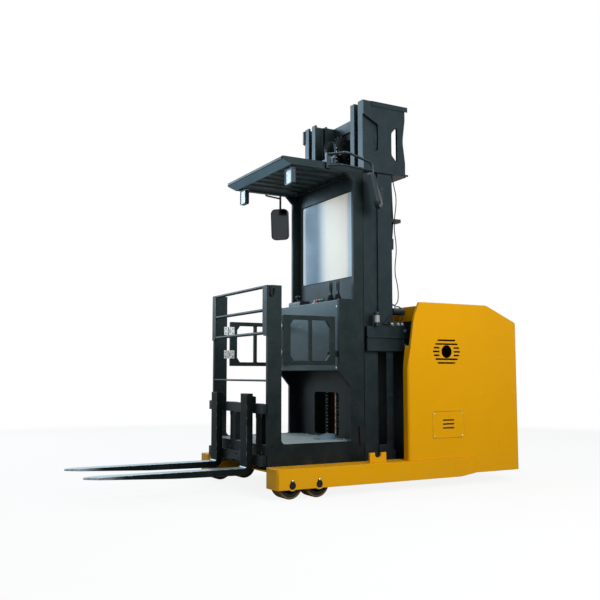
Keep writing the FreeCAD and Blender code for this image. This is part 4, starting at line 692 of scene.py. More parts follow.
def turned(profile, sides=24, corners=None):
    """Rings about +Z: ring i is a circle of radius r_i at height h_i. corners gives the rings another shape,
    as an array (sides, 2) of unit points."""
    shape = circle(sides) if corners is None else corners
    profile = np.asarray(profile, float)
    flat = shape[None] * profile[:, 0, None, None]
    height = np.broadcast_to(profile[:, 1, None, None], (len(profile), sides, 1))
    return np.concatenate([flat, height], axis=2)


def hex_bolt(r):
    """A washer, a six-sided head and its chamfer, sunk a little into the plate."""
    washer = turned([(1.75 * r, -0.2 * r), (1.75 * r, 0.22 * r), (1.62 * r, 0.3 * r)], 12)
    head = turned([(1.1 * r, 0.3 * r), (1.1 * r, 0.95 * r), (0.92 * r, 1.1 * r)], 12, hexagon())
    return np.concatenate([washer, head])


def dome_screw(r):
    """A low domed head: radius falls as the cosine while height rises as the sine."""
    t = np.linspace(0.0, 1.25, 4)
    profile = [(1.0 * r, -0.3 * r)] + [(math.cos(a) * r, math.sin(a) * 0.5 * r) for a in t]
    return turned(profile, 12)


def along(path, section, up=(0.0, 0.0, 1.0), closed=False):
    """Carries a section along a path: point (i, j) = path_i + a_j side_i + b_j over_i, where side and over
    are square to the path's direction. section is (m, 2), or (n, m, 2) where it changes along the path."""
    path, section = np.asarray(path, float), np.asarray(section, float)
    if closed:
        ahead = np.roll(path, -1, axis=0) - np.roll(path, 1, axis=0)
    else:
        ahead = np.gradient(path, axis=0)
    ahead /= np.linalg.norm(ahead, axis=1)[:, None]
    side = np.cross(np.array(up), ahead)
    side /= np.linalg.norm(side, axis=1)[:, None]
    over = np.cross(ahead, side)
    if section.ndim == 2:
        section = np.broadcast_to(section, (len(path), *section.shape))
    return path[:, None] + section[..., :1] * side[:, None] + section[..., 1:] * over[:, None]


def block(low, high, ease=0.002):
    """A box from low to high: four rings up z with cut corners, the first and last drawn in by ease."""
    (x0, y0, z0), (x1, y1, z1) = low, high
    rings = []
    for inset, z in ((ease, z0), (0.0, z0 + ease), (0.0, z1 - ease), (ease, z1)):
        left, right, near, far = x0 + inset, x1 - inset, y0 + inset, y1 - inset
        rings.append([(right - ease, near, z), (right, near + ease, z), (right, far - ease, z),
                      (right - ease, far, z), (left + ease, far, z), (left, far - ease, z),
                      (left, near + ease, z), (left + ease, near, z)])
    return np.array(rings)


def strap(outline, x0, x1, ease):
    """A flat piece whose (y, z) outline is drawn along x, with its end rings shrunk towards the middle."""
    middle = outline.mean(axis=0)
    reach = np.linalg.norm(outline - middle, axis=1)[:, None]
    small = middle + (outline - middle) * (1.0 - ease / reach)
    rings = []
    for shape, x in ((small, x0), (outline, x0 + ease), (outline, x1 - ease), (small, x1)):
        rings.append(np.concatenate([np.full((len(shape), 1), x), shape], axis=1))
    return np.array(rings)


def teardrop(y, z, low_r, high_r, rise, count=30):
    """(y, z) outline round two circles, high_r standing rise above low_r, and the lines that touch both."""
    touch = math.acos((low_r - high_r) / rise)
    angle = np.concatenate([np.linspace(-touch, touch, count // 3),
                            np.linspace(touch, 2 * np.pi - touch, count)[1:-1]])
    upper = np.arange(len(angle)) < count // 3
    radius = np.where(upper, high_r, low_r)
    return np.stack([y - radius * np.sin(angle), z + radius * np.cos(angle) + rise * upper], axis=1)


def evenly(corners, spacing):
    """Points along straight runs between the corners, about spacing apart."""
    corners = np.asarray(corners, float)
    runs = np.linalg.norm(np.diff(corners, axis=0), axis=1)
    reach = np.concatenate([[0.0], np.cumsum(runs)])
    count = max(2, int(round(reach[-1] / spacing)) + 1)
    s = np.linspace(0.0, reach[-1], count)
    return np.stack([np.interp(s, reach, corners[:, i]) for i in range(3)], axis=1)


def smooth_path(corners, rounds=4):
    """A path with its corners cut: each round puts two points, a quarter in from each end, on every run."""
    path = np.asarray(corners, float)
    for _ in range(rounds):
        cut = np.stack([path[:-1] * 0.75 + path[1:] * 0.25, path[:-1] * 0.25 + path[1:] * 0.75], axis=1)
        path = np.concatenate([path[:1], cut.reshape(-1, 3), path[-1:]])
    return path


def mirrored(spots):
    """The spots and their mirror images in the truck's middle plane."""
    spots = np.asarray(spots, float)
    return np.concatenate([spots, spots * np.array([-1.0, 1.0, 1.0] * (spots.shape[1] // 3))])


def weld(stock, corners, up=(0.31, 0.52, 0.8), size=1.0):
    """A bead along the corners: a small round section whose radius swells and shrinks ring by ring."""
    hardware = bpy.context.scene.picker_hardware
    path = evenly(corners, hardware.ripple)
    beat = 1.0 + 0.16 * (-1.0) ** np.arange(len(path))
    beat[0] = beat[-1] = 0.5
    section = circle(6, hardware.weld * size)[None] * beat[:, None, None]
    stock.stack(along(path, section, up))


# ---- lift chains ------------------------------------------------------------------------------------
PLATE_THICK = 0.0026

# Places of the plates across the chain, at one pitch and at the next: two inside, then two on each side.
LACING = ((-0.0015, 0.0015), (-0.0076, -0.0045, 0.0045, 0.0076))


def joint_travel(name):
    """How far a sliding joint of the frame goes, in metres."""
    return next(joint["range_m"][1] for joint in frame["joints"] if joint["name"] == name)


def sheave_reach():
    """Distance from the truck's middle plane to the middle of a sheave, which is 0.03 wide."""
    return abs(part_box("chain_sheaves")[0].x + 0.015)


def chain_plate(shrink=1.0):
    """One chain plate about its middle: a figure of eight (waisted at the middle) in y and z, thick in x."""
    hardware = bpy.context.scene.picker_hardware
    depth, thick = hardware.link_width * shrink, PLATE_THICK * shrink
    t = np.arange(14) * (2 * np.pi / 14)
    z = np.sign(np.cos(t)) * np.abs(np.cos(t)) ** 0.75 * (hardware.pitch / 2 + depth / 2)
    y = -np.sin(t) * depth / 2 * (0.78 + 0.22 * np.abs(np.cos(t)) ** 0.5)
    face = np.stack([np.zeros_like(y), y, z], axis=1)
    return np.stack([face - [thick / 2, 0, 0], face + [thick / 2, 0, 0]])


def leaf_chain(name, body, y, low, high, shrink=1.0):
    """Two falls of leaf chain, one on each sheave, hung from high: one pitch has two plates, laced inside,
    and the next has four, two on each side of them. Pins run through where they meet."""
    pitch = bpy.context.scene.picker_hardware.pitch
    plate = chain_plate(shrink)
    radius, half, ease = 0.0044, 0.0112, 0.0004
    pin = turned([(radius - 0.001, -half), (radius, ease - half), (radius, half - ease),
                  (radius - 0.001, half)], 8) * shrink
    z = high - pitch * (np.arange(int((high - low) / pitch)) + 0.5)
    stock = Stock()
    for side in SIDES:
        middle = np.stack([np.full_like(z, side * sheave_reach()), np.full_like(z, y), z], axis=1)
        for lace, offsets in enumerate(LACING):
            for offset in offsets:
                places = middle[lace::2] + [offset * shrink, 0.0, 0.0]
                for one in plate[None] + places[:, None, None, :]:
                    stock.stack(one)
        pins = middle + [0.0, 0.0, pitch / 2]
        stock.copies(pin, pins, np.tile(FACES["x"], (len(pins), 1)), 1, turn=FACES["z"])
    return stock.finish(name, body, "chain_steel", ["link_steel", "chain_pins"])


def chain_turn(axle, radius):
    """The plates that go over both sheaves: each is turned about the axle to its own angle at the radius."""
    pitch, plate = bpy.context.scene.picker_hardware.pitch, chain_plate()
    count = int(round(math.pi * radius / pitch))
    angle = (np.arange(count) + 0.5) * math.pi / count
    stock = Stock()
    for side in SIDES:
        for lace, offsets in enumerate(LACING):
            for a in angle[lace::2]:
                c, s = math.cos(a), math.sin(a)
                turn = np.array([[1.0, 0.0, 0.0], [0.0, s, c], [0.0, -c, s]])
                middle = np.array([side * sheave_reach(), axle.y - c * radius, axle.z + s * radius])
                for offset in offsets:
                    stock.stack(plate @ turn + middle + [offset, 0.0, 0.0])
    stock.finish("chain_over_sheaves", "inner_mast", "chain_steel", ["link_steel"])


class PICKER_OT_chains(bpy.types.Operator):
    """Laces the falls of leaf chain and their turn over the sheaves"""
    bl_idname = "picker.chains"
    bl_label = "Lift chains"

    def execute(self, context):
        front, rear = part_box("chains_front"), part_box("chains_rear")
        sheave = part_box("chain_sheaves")
        axle = (sheave[0] + sheave[1]) / 2
        front_y = front[0].y + 0.0085
        rear_y = (rear[0].y + rear[1].y) / 2
        travel = joint_travel("cab_lift")
        drop = leaf_chain("chain_front_falls", "inner_mast", front_y, front[0].z, axle.z)
        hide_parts("chains_front")
        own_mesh(drop)
        hung = leaf_chain("chain_rear_falls", "chassis", rear_y, rear[0].z, axle.z)
        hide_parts("chains_rear")
        leaf_chain("chain_rear_return", "inner_mast", rear_y, axle.z - travel, axle.z, 0.97)
        chain_turn(axle, (rear_y - front_y) / 2)
        return {"FINISHED"}


# ---- fasteners --------------------------------------------------------------------------------------
def fasteners(name, body, slot, material, template, spots):
    """One mesh of like fasteners. spots is an array (count, 6): place and outward normal."""
    stock = Stock()
    spots = np.asarray(spots, float)
    stock.copies(template, spots[:, :3], spots[:, 3:])
    stock.finish(name, body, slot, [material])


def row_of(start, end, count, normal):
    """count spots evenly from start to end."""
    share = np.linspace(0.0, 1.0, count)[:, None]
    places = np.asarray(start, float) * (1 - share) + np.asarray(end, float) * share
    return np.concatenate([places, np.tile(np.asarray(normal, float), (count, 1))], axis=1)


def beam_bolts():
    """Two bolts at the end of each side beam."""
    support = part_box("mast_support")[1]
    x, y = support.x - 0.004, support.y - 0.028
    spots = row_of((x, y, BEAM_LOW + 0.042), (x, y, BEAM_TOP - 0.028), 2, FACES["x"])
    bolt = hex_bolt(bpy.context.scene.picker_hardware.bolt)
    fasteners("beam_bolts", "chassis", "frame_paint", "blued_steel", bolt, mirrored(spots))


def axle_keepers():
    """A drop-shaped plate and its screw at the end of each load wheel's axle."""
    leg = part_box("leg_left")[1].x
    thick, sunk, ease = 0.0025, 0.001, 0.0015
    low_r, high_r, rise = 0.0235, 0.0105, 0.027
    stock, screws = Stock(), []
    for wheel in ("front_left", "rear_left"):
        low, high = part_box("load_tread_" + wheel)
        axle = (low + high) / 2
        outline = teardrop(axle.y, axle.z, low_r, high_r, rise)
        stock.stack(strap(outline, leg - sunk, leg + thick, ease))
        flipped = outline * (-1.0, 1.0) + (2 * axle.y, 0.0)
        stock.stack(strap(flipped, -leg - thick, -leg + sunk, ease))
        screws.append((leg + thick, axle.y, axle.z + rise + 0.003, 1, 0, 0))
    stock.finish("axle_keepers", "chassis", "wheel_hub", ["wheel_black"])
    fasteners("keeper_screws", "chassis", "wheel_hub", "zinc_plate", dome_screw(0.0075), mirrored(screws))


def cover_screws():
    """A screw in each corner of the service covers, and a row down each side of the rear panel."""
    low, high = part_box("service_covers")
    margin = 0.014
    spots = [(high.x, y, z, 1, 0, 0) for y in (low.y + margin, high.y - margin)
             for z in (low.z + margin, high.z - margin)]
    screw = dome_screw(bpy.context.scene.picker_hardware.screw)
    fasteners("cover_screws", "chassis", "yellow_paint", "zinc_plate", screw, mirrored(spots))
    low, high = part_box("rear_panel")
    x = high.x - 0.03
    edge = mirrored(row_of((x, high.y, low.z + 0.08), (x, high.y, high.z - 0.06), 4, FACES["y"]))
    fasteners("rear_panel_screws", "chassis", "yellow_paint", "zinc_plate", dome_screw(0.0075), edge)


def cab_bolts():
    """The bolts of the desk's brackets and those along the rear edge of the floor."""
    low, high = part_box("console")
    wall_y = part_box("rear_wall")[0].y
    desk = [(high.x - 0.012, low.y, high.z - 0.049, 0, -1, 0),
            (high.x - 0.021, low.y, low.z + 0.018, 0, -1, 0),
            (high.x - 0.067, wall_y, high.z + 0.03, 0, -1, 0)]
    fasteners("desk_bolts", "cab", "cab_paint", "zinc_plate", dome_screw(0.008), mirrored(desk))
    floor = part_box("platform")[1].z
    edge = [(x, wall_y - 0.012, floor, 0, 0, 1) for x in (0.136, 0.271, 0.351)]
    fasteners("floor_bolts", "cab", "cab_paint", "bright_steel", dome_screw(0.009), mirrored(edge))


def gate_screws(name, side):
    """The screws of a gate's straps, and of its hinge leaves on the gate and on the post."""
    gate, slot = "gate_" + name, "cab_paint"
    low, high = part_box(gate)
    face = high.x if side > 0 else low.x
    spots = [(face, low.y + 0.024, low.z + up, side, 0, 0) for up in (0.063, 0.100, 0.242, 0.279)]
    spots += [(face, low.y + 0.216, low.z + up, side, 0, 0) for up in (0.019, 0.325)]
    fasteners("gate_screws_" + name, gate, slot, "black_oxide", dome_screw(0.0045), spots)
    heights = [low.z + hinge + up for hinge in (0.058, 0.238) for up in (0.014, 0.048)]
    leaf = [(side * 0.421, low.y + 0.034, z, -side, 0, 0) for z in heights]
    fasteners("hinge_screws_" + name, gate, slot, "blued_steel", dome_screw(0.005), leaf)
    leaf = [(side * 0.436, low.y - 0.018, z, -side, 0, 0) for z in heights]
    fasteners("post_screws_" + name, "cab", slot, "blued_steel", dome_screw(0.005), leaf)


class PICKER_OT_fasteners(bpy.types.Operator):
    """Places the bolts and screws of every body"""
    bl_idname = "picker.fasteners"
    bl_label = "Bolts and screws"

    def execute(self, context):
        beam_bolts()
        axle_keepers()
        cover_screws()
        cab_bolts()
        for name, side in HANDS:
            gate_screws(name, side)
        return {"FINISHED"}


class PICKER_OT_wheel_rims(bpy.types.Operator):
    """Adds the cast rim that shows at both sides of each wheel's tread"""
    bl_idname = "picker.wheel_rims"
    bl_label = "Wheel rims"

    def execute(self, context):
        wheels = [("load_tread_" + place, "wheel_" + place, 0.060, 0.076)
                  for place in ("front_left", "front_right", "rear_left", "rear_right")]
        wheels.append(("drive_tyre", "drive_wheel", 0.100, 0.126))
        proud, sunk = 0.001, -0.002
        for node, body, inner, outer in wheels:
            low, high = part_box(node)
            middle = (low + high) / 2
            ring = turned([(inner, sunk), (inner, proud), (outer - proud, proud), (outer, 0.0),
                           (outer, sunk)], 48)
            stock = Stock()
            for x, way in ((low.x, -1.0), (high.x, 1.0)):
                stock.copies(ring, [(x, middle.y, middle.z)], [(way, 0.0, 0.0)], turn=FACES["z"])
            stock.finish(body + "_rims", body, "wheel_hub", ["wheel_black"])
        return {"FINISHED"}


# ---- weld beads -------------------------------------------------------------------------------------
def leg_welds():
    """Beads round the mouths of the legs and across their rear brackets."""
    stock = Stock()
    low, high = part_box("leg_left")
    seam, foot, bend = low.y + 0.012, low.z + 0.012, 0.026
    for side in SIDES:
        outer, inner = side * high.x, side * low.x
        loop = [(outer, seam, foot), (outer, seam, high.z - bend), (outer - side * bend, seam, high.z),
                (inner + side * bend, seam, high.z), (inner, seam, high.z - bend), (inner, seam, foot)]
        weld(stock, loop, up=FACES["y"], size=0.45)
    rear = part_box("leg_brackets")[1].y
    for side in SIDES:
        for y in (rear - 0.136, rear):
            weld(stock, [(side * 0.50, y, high.z), (side * 0.60, y, high.z)])
    stock.finish("leg_welds", "chassis", "yellow_paint", ["weld_yellow"], smooth=True)


def mast_welds():
    """Beads of the side beams and the mast's ties, and the strip that backs the seam of the mast's head."""
    stock = Stock()
    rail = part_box("outer_rail_left")[1]
    for side in SIDES:
        for z in (BEAM_LOW, BEAM_TOP):
            weld(stock, [(side * rail.x, rail.y - 0.126, z), (side * rail.x, rail.y, z)])
    low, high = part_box("mast_head")
    seam, web = low.y + 0.124, rail.x - 0.015
    for side in SIDES:
        x = sorted((side * (web - 0.012), side * (web + 0.0005)))
        stock.stack(block((x[0], seam - 0.001, low.z + 0.15), (x[1], seam + 0.014, high.z - 0.13), 0.001), 1)
    for z in (0.26, BEAM_LOW, BEAM_TOP - 0.036, 1.72, 1.8):
        for side in SIDES:
            weld(stock, [(side * 0.40, rail.y, z), (side * 0.44, rail.y, z)], up=(0.0, 1.0, 0.1))
    stock.finish("mast_welds", "chassis", "frame_paint", ["weld_metal", "frame_dark"], smooth=True)


def cab_welds():
    """Beads of the fork carriage's uprights and at the top of the front guard."""
    stock = Stock()
    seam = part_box("fork_carriage")[0].y + 0.03
    for x in (-0.13, -0.045, 0.293, 0.378):
        for z, reach in ((0.268, 0.03), (0.54, -0.03)):
            weld(stock, [(x, seam, z), (x, seam, z + reach)], up=FACES["y"], size=0.8)
    post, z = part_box("roof_guard"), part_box("front_guard")[1].z - 0.003
    for side in SIDES:
        x = side * post[1].x
        weld(stock, [(x, post[0].y, z), (x, post[0].y - 0.084, z)], size=0.6)
    stock.finish("cab_welds", "cab", "cab_paint", ["weld_metal"], smooth=True)


class PICKER_OT_welds(bpy.types.Operator):
    """Runs weld beads where plates meet, and backs the mast head's open seam"""
    bl_idname = "picker.welds"
    bl_label = "Weld beads"

    def execute(self, context):
        leg_welds()
        mast_welds()
        cab_welds()
        return {"FINISHED"}


# ---- cab floor --------------------------------------------------------------------------------------
class PICKER_OT_floor_tread(bpy.types.Operator):
    """Raises the lozenges of the chequered floor plate, except round the pedal"""
    bl_idname = "picker.floor_tread"
    bl_label = "Floor tread"

    def execute(self, context):
        hardware = context.scene.picker_hardware
        low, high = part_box("platform")
        wall_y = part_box("rear_wall")[0].y
        pitch, length = hardware.lozenge_pitch, hardware.lozenge
        shape = circle(8) * [length / 2, length * 0.17]
        lozenge = np.stack([np.concatenate([shape * share, np.full((8, 1), height)], axis=1)
                            for share, height in ((1.0, -0.0004), (0.86, 0.0014), (0.5, 0.0019))])
        x = np.arange(low.x + 0.034, high.x - 0.033, pitch)
        y = np.arange(low.y + 0.046, wall_y - 0.027, pitch)
        gx, gy = np.meshgrid(x, y, indexing="ij")
        parity = (np.add.outer(np.arange(len(x)), np.arange(len(y))) % 2).ravel()
        places = np.stack([gx.ravel(), gy.ravel(), np.full(gx.size, high.z)], axis=1)
        pedal, margin = np.array(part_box("foot_pedal")), 0.02
        under = (places[:, :2] > pedal[0, :2] - margin) & (places[:, :2] < pedal[1, :2] + margin)
        clear = ~under.all(axis=1)
        stock = Stock()
        for kind, lean in ((0, (1.0, 1.0, 0.0)), (1, (1.0, -1.0, 0.0))):
            chosen = places[(parity == kind) & clear]
            stock.copies(lozenge, chosen, np.tile(FACES["z"], (len(chosen), 1)), turn=lean)
        stock.finish("floor_lozenges", "cab", "cab_paint", ["floor_plate"])
        return {"FINISHED"}


# ---- operator's desk --------------------------------------------------------------------------------
LEVERS, BUTTONS, KEY_SWITCH, KNOB = (0.243, 0.340), (0.08, 0.132), 0.02, -0.24   # places across the desk


def upright(stock, profile, place, mark, sides=24):
    """A turned profile that stands at the place."""
    stock.copies(turned(profile, sides), [place], [FACES["z"]], mark)


def bellows(base, top, height, folds, swing=0.0032):
    """A gaiter's profile: radius falls from base to top and swings in and out once per fold."""
    t = np.linspace(0.0, 1.0, folds * 6 + 1)
    radius = base + (top - base) * t + swing * np.cos(2 * np.pi * folds * t)
    return np.stack([radius, t * height], axis=1)


def lever_grip(x, y, foot, height):
    """A grip of oval rings, which widen towards the top and close at both ends with the sine of the
    share of the height."""
    t = np.linspace(0.0, 1.0, 15)[:, None, None]
    swell = np.sin(np.pi * np.clip(t, 0.001, 0.999)) ** 0.35
    ovals = circle(20) * np.array([0.0185, 0.0145]) * swell * (0.62 + 0.38 * t)
    heights = np.broadcast_to(foot + height * t, (15, 20, 1))
    return np.concatenate([ovals + np.array([x, y]), heights], axis=2)


class PICKER_OT_desk(bpy.types.Operator):
    """Adds the levers' gaiters and grips, the buttons, the key switch and the steering knob"""
    bl_idname = "picker.desk"
    bl_label = "Desk fittings"

    def execute(self, context):
        low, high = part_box("console")
        top, lever_y, y = high.z, low.y + 0.06, low.y + 0.05
        rubber, black, red, green, plated = range(5)
        stock = Stock()
        for x in LEVERS:
            upright(stock, bellows(0.0325, 0.0145, 0.05, 4), (x, lever_y, top), rubber, 20)
            upright(stock, [(0.038, -0.001), (0.038, 0.003), (0.035, 0.005)], (x, lever_y, top), black)
            stock.stack(lever_grip(x, lever_y, top + 0.046, 0.104), rubber)
        cap = [(0.013, 0.009), (0.0145, 0.012), (0.0185, 0.02), (0.0185, 0.026), (0.014, 0.031),
               (0.006, 0.0325)]
        for x, colour in zip(BUTTONS, (red, green)):
            upright(stock, [(0.019, -0.001), (0.019, 0.008), (0.016, 0.011)], (x, y, top), black)
            upright(stock, cap, (x, y, top), colour)
        barrel = [(0.015, -0.001), (0.015, 0.007), (0.012, 0.01), (0.006, 0.0105)]
        upright(stock, barrel, (KEY_SWITCH, y, top), plated)
        upright(stock, [(0.0016, 0.0), (0.0016, 0.024)], (KEY_SWITCH, y, top + 0.01), plated, 8)
        stock.finish("desk_switches", "cab", "fittings_black",
                     ["rubber", "moulded_black", "button_red", "button_green", "zinc_plate"], smooth=True)
        knob = Stock()
        t = np.linspace(-1.35, 1.45, 14)
        dome = np.stack([0.025 * np.cos(t) ** 0.8, 0.011 * np.sin(t)], axis=1)
        upright(knob, dome, (KNOB, lever_y, top + 0.075), 0, 28)
        knob.finish("steering_knob", "cab", "fittings_black", ["moulded_black"], smooth=True)
        return {"FINISHED"}


# ---- mast and post fittings -------------------------------------------------------------------------
def tube(stock, corners, radius, mark, up, sides=10):
    """A round tube along the smoothed corners."""
    stock.stack(along(smooth_path(corners), circle(sides, radius), up=up), mark)


def beam_fittings():
    """The coupler block, the elbow, the thin lines and the canister's straps on the left side beam, and the
    slack cable behind the left rail."""
    zinc, black, oxide = range(3)
    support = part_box("mast_support")[1]
    stock = Stock()
    x, y0, y1 = support.x - 0.011, support.y - 0.16, support.y - 0.035
    stock.stack(block((x - 0.022, y0, BEAM_TOP - 0.001), (x, y1, BEAM_TOP + 0.036), 0.002), oxide)
    coupler = np.concatenate([turned([(0.013, -0.001), (0.013, 0.008), (0.011, 0.010)], 12, hexagon()),
                              turned([(0.0095, 0.010), (0.0095, 0.016), (0.007, 0.017), (0.006, 0.012)], 12)])
    places = [(x, y, BEAM_TOP + 0.018) for y in (0.537, 0.59, 0.626)]
    stock.copies(coupler, places, np.tile(FACES["x"], (3, 1)), zinc, turn=FACES["z"])
    low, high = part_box("hydraulic_fittings")
    tank_y, tank_top = high.y - 0.07, high.z
    elbow = [(0.420, tank_y, tank_top - 0.002), (0.420, tank_y, tank_top + 0.016),
             (0.412, tank_y - 0.006, 1.312), (0.398, tank_y - 0.014, 1.316), (0.385, tank_y - 0.016, 1.318)]
    tube(stock, elbow, 0.0065, zinc, (0.3, 1.0, 0.1), 12)
    lines = [[(0.420, tank_y + 0.004, tank_top + 0.012), (0.424, tank_y + 0.036, tank_top + 0.012),
              (0.436, tank_y + 0.056, tank_top - 0.02), (0.450, tank_y + 0.052, 1.215),
              (x - 0.011, 0.61, BEAM_TOP + 0.034)],
             [(x - 0.012, y0 + 0.003, BEAM_TOP + 0.02), (0.452, 0.46, 1.165), (0.450, 0.50, 1.195),
              (0.441, 0.54, 1.232), (0.430, 0.57, 1.252), (0.424, tank_y - 0.026, 1.257)],
             [(0.474, 0.385, BEAM_TOP + 0.012), (0.466, 0.42, BEAM_TOP + 0.004),
              (0.462, 0.47, BEAM_TOP + 0.004), (x - 0.008, y0 + 0.002, BEAM_TOP + 0.01)]]
    for line in lines:
        tube(stock, line, 0.0045, black, (1.0, 0.2, 0.1))
    x = support.x - 0.04
    cable = [(x, 0.573, 2.286), (x, 0.586, 2.21), (x, 0.616, 2.10), (x, 0.582, 1.90), (x, 0.612, 1.73),
             (x, 0.584, 1.56), (x, 0.618, 1.44), (x - 0.004, 0.622, 1.34), (x - 0.02, 0.60, 1.305)]
    tube(stock, cable, 0.0036, black, FACES["x"], 8)
    x = high.x - 0.04
    for y in (low.y - 0.005, low.y + 0.046):
        stock.stack(block((x, y, BEAM_TOP - 0.001), (x + 0.008, y + 0.006, BEAM_TOP + 0.104), 0.001), oxide)
    stock.finish("beam_fittings", "chassis", "fittings_black", ["dull_zinc", "rubber", "black_oxide"])


def rail_switch():
    """The switch box on the left outer rail, with three screws."""
    stock = Stock()
    x, rail_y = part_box("outer_rail_left")[1].xy
    y0, y1, z0, z1 = rail_y - 0.116, rail_y - 0.084, 2.06, 2.175
    stock.stack(block((x - 0.001, y0, z0), (x + 0.018, y1, z1), 0.003), 0)
    for z in (z0 + 0.022, z0 + 0.058, z0 + 0.094):
        stock.stack(block((x + 0.017, y0 + 0.008, z - 0.006), (x + 0.021, y1 - 0.008, z + 0.006), 0.001), 1)
    stock.finish("rail_switch", "chassis", "fittings_black", ["moulded_black", "black_oxide"])


def post_hook():
    """The small rubber hook that hangs on the left front post."""
    x, y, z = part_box("roof_guard")[1].x + 0.003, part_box("cab_side_left")[0].y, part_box("front_guard")[1].z
    hook = [(x, y + 0.026, z - 0.005), (x, y + 0.026, z - 0.061), (x, y + 0.032, z - 0.079),
            (x, y + 0.044, z - 0.079), (x, y + 0.054, z - 0.056), (x, y + 0.056, z - 0.021)]
    stock = Stock()
    stock.stack(along(smooth_path(hook, 3), circle(10) * np.array([0.0042, 0.0055]), up=FACES["x"]))
    stock.finish("post_hook", "cab", "fittings_black", ["rubber"], smooth=True)


class PICKER_OT_fittings(bpy.types.Operator):
    """Adds the small hydraulic and electric fittings of the mast, and the hook on the cab's post"""
    bl_idname = "picker.fittings"
    bl_label = "Mast and post fittings"

    def execute(self, context):
        beam_fittings()
        rail_switch()
        post_hook()
        return {"FINISHED"}


class PICKER_OT_pane_seal(bpy.types.Operator):
    """Runs the rubber seal round the rear pane"""
    bl_idname = "picker.pane_seal"
    bl_label = "Pane seal"

    def execute(self, context):
        low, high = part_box("rear_pane")
        width, inset, r = context.scene.picker_hardware.seal, 0.003, 0.02
        x, z0, z1 = high.x - inset - r, low.z + inset + r, high.z - inset - r
        quarter = np.linspace(0.0, np.pi / 2, 6)
        path = []
        for cx, cz, start in ((x, z1, 0.0), (-x, z1, 0.5), (-x, z0, 1.0), (x, z0, 1.5)):
            a = quarter + start * np.pi
            path.append(np.stack([cx + r * np.cos(a), np.full(6, low.y - 0.001), cz + r * np.sin(a)], axis=1))
        section = circle(8) * np.array([width / 2, 0.0035])
        stock = Stock()
        stock.stack(along(np.concatenate(path), section, up=FACES["y"], closed=True), looped=True)
        stock.finish("pane_seal", "cab", "hose_rubber", ["rubber"], smooth=True)
        return {"FINISHED"}


# ---- studio -----------------------------------------------------------------------------------------
def stand_camera(scene, studio):
    """The camera at the height and tilt of its settings."""
    data = bpy.data.cameras.new("view_camera")
    data.lens, data.sensor_width, data.clip_end = studio.lens, 36.0, 200.0
    camera = bpy.data.objects.new("view_camera", data)
    scene.collection.objects.link(camera)
    camera.location = studio.eye
    camera.rotation_euler = (math.pi / 2 + studio.pitch, 0.0, studio.yaw)
    scene.camera = camera


def softbox(name, place, target, size, power, colour=(1.0, 1.0, 1.0)):
    """A square area lamp that looks at its target."""
    data = bpy.data.lights.new(name, "AREA")
    data.shape, data.size, data.energy, data.color = "SQUARE", size, power, colour
    lamp = bpy.data.objects.new(name, data)
    bpy.context.scene.collection.objects.link(lamp)
    lamp.location = place
    x, y, z = np.array(target) - np.array(place)
    lamp.rotation_euler = (math.atan2(math.hypot(x, y), -z), 0.0, math.atan2(y, x) - math.pi / 2)


def build_world(scene, studio):
    """An even pale light from all round, which the camera, gloss and glass see as the white backdrop."""
    world = bpy.data.worlds.new("studio_world")
    scene.world = world
    world.use_nodes = True
    world.node_tree.nodes.clear()
    net = Net(world.node_tree)
    path = net.add("LightPath").outputs
    seen = net.maths("MAXIMUM", path["Is Camera Ray"],
                     net.maths("MAXIMUM", path["Is Glossy Ray"], path["Is Transmission Ray"]))
    light = net.add("Background", {"Color": (0.88, 0.95, 1.0, 1.0), "Strength": studio.ambient})
    white = net.add("Background", {"Color": (1.0, 1.0, 1.0, 1.0), "Strength": studio.backdrop})
    both = net.add("MixShader", {0: seen, 1: light.outputs[0], 2: white.outputs[0]})
    net.put(net.add("OutputWorld").inputs["Surface"], both.outputs[0])


def pale_floor(studio):
    """A pale matt floor that turns into the backdrop with distance. Near the truck the camera still sees a
    little of the matt, which carries the shadow, and gloss and glass see the backdrop far out."""
    material = bpy.data.materials.new("pale_floor")
    material.use_nodes = True
    material.node_tree.nodes.clear()
    net = Net(material.node_tree)
    place = net.add("TexCoord").outputs["Object"]
    reach = net.add("VectorMath", {0: place}, operation="LENGTH").outputs["Value"]
    path = net.add("LightPath").outputs
    seen = net.maths("MAXIMUM", path["Is Camera Ray"], path["Is Transmission Ray"])
    pale = net.blend(net.noise(place, 3.0, 4.0), (0.60, 0.60, 0.60, 1.0), (0.64, 0.64, 0.64, 1.0))
    tone = net.blend(seen, (0.3, 0.3, 0.3, 1.0), pale)
    matt = net.add("BsdfPrincipled", {"Base Color": tone, "Roughness": 0.9, "Specular IOR Level": 0.1})
    backdrop_and_painted_glow = net.add("Emission", {"Color": (1.0, 1.0, 1.0, 1.0), "Strength": studio.backdrop})
    direct = net.maths("MULTIPLY", seen, net.maths("MAXIMUM", net.step(reach, 1.8, 8.0), 0.88))
    reflected = net.maths("MULTIPLY", path["Is Glossy Ray"], net.step(reach, 5.0, 25.0))
    share = net.maths("MAXIMUM", direct, reflected)
    both = net.add("MixShader", {0: share, 1: matt.outputs[0], 2: backdrop_and_painted_glow.outputs[0]})
    net.put(net.add("OutputMaterial").inputs["Surface"], both.outputs[0])
    return material


def lay_floor(scene, studio):
    """A flat disc of rings just under the wheels."""
    radii, drop = np.array([0.0001, 3.0, 6.0, 12.0, 40.0]), 0.0005
    flat = circle(48)[None] * radii[:, None, None]
    stock = Stock()
    stock.stack(np.concatenate([flat, np.full((len(radii), 48, 1), -drop)], axis=2), capped=False)
    mesh = bpy.data.meshes.new("floor")
    mesh.from_pydata(stock.points[0].tolist(), [], stock.faces)
    mesh.materials.append(pale_floor(studio))
    floor = bpy.data.objects.new("floor", mesh)
    scene.collection.objects.link(floor)


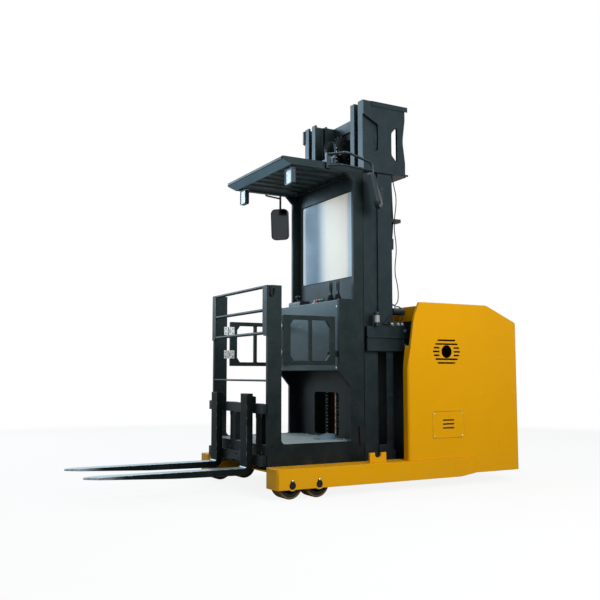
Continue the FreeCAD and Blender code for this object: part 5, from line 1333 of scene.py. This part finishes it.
class PICKER_OT_studio(bpy.types.Operator):
    """Sets the camera, the lamps, the backdrop and the pale floor"""
    bl_idname = "picker.studio"
    bl_label = "Studio"

    def execute(self, context):
        scene, studio = context.scene, context.scene.picker_studio
        scene.view_settings.view_transform = "Standard"
        stand_camera(scene, studio)
        softbox("key_softbox", (4.9, 0.3, 3.3), (0.4, 0.6, 1.1), 2.4, studio.key)
        softbox("front_softbox", (-6.2, -3.6, 4.0), (0.2, 0.2, 2.2), 3.8, studio.front, (0.58, 0.81, 1.0))
        softbox("top_softbox", (0.0, 0.5, 7.0), (0.0, 0.0, 1.2), 5.0, studio.top)
        build_world(scene, studio)
        lay_floor(scene, studio)
        return {"FINISHED"}


class PICKER_PT_panel(bpy.types.Panel):
    """Lists the truck's dressing steps and their settings"""
    bl_idname = "PICKER_PT_panel"
    bl_label = "Order Picker"
    bl_space_type = "VIEW_3D"
    bl_region_type = "UI"
    bl_category = "Order Picker"

    def draw(self, context):
        for step in STEPS:
            self.layout.operator(step.bl_idname)
        for name in SETTINGS:
            box = self.layout.box()
            for setting in SETTINGS[name].__annotations__:
                box.prop(getattr(context.scene, name), setting)


STEPS = [PICKER_OT_paint, PICKER_OT_chains, PICKER_OT_wheel_rims, PICKER_OT_fasteners, PICKER_OT_welds,
         PICKER_OT_floor_tread, PICKER_OT_desk, PICKER_OT_fittings, PICKER_OT_pane_seal, PICKER_OT_studio]
SETTINGS = {"picker_finishes": PickerFinishes, "picker_hardware": PickerHardware,
            "picker_studio": PickerStudio}


def register():
    for kind in [*SETTINGS.values(), *STEPS, PICKER_PT_panel]:
        bpy.utils.register_class(kind)
    for name, kind in SETTINGS.items():
        setattr(bpy.types.Scene, name, bpy.props.PointerProperty(type=kind))


def unregister():
    for name in SETTINGS:
        delattr(bpy.types.Scene, name)
    for kind in [PICKER_PT_panel, *STEPS[::-1], *SETTINGS.values()]:
        bpy.utils.unregister_class(kind)


def main():
    register()
    for step in STEPS:
        space, call = step.bl_idname.split(".")
        getattr(getattr(bpy.ops, space), call)()


if __name__ == "__main__":
    main()
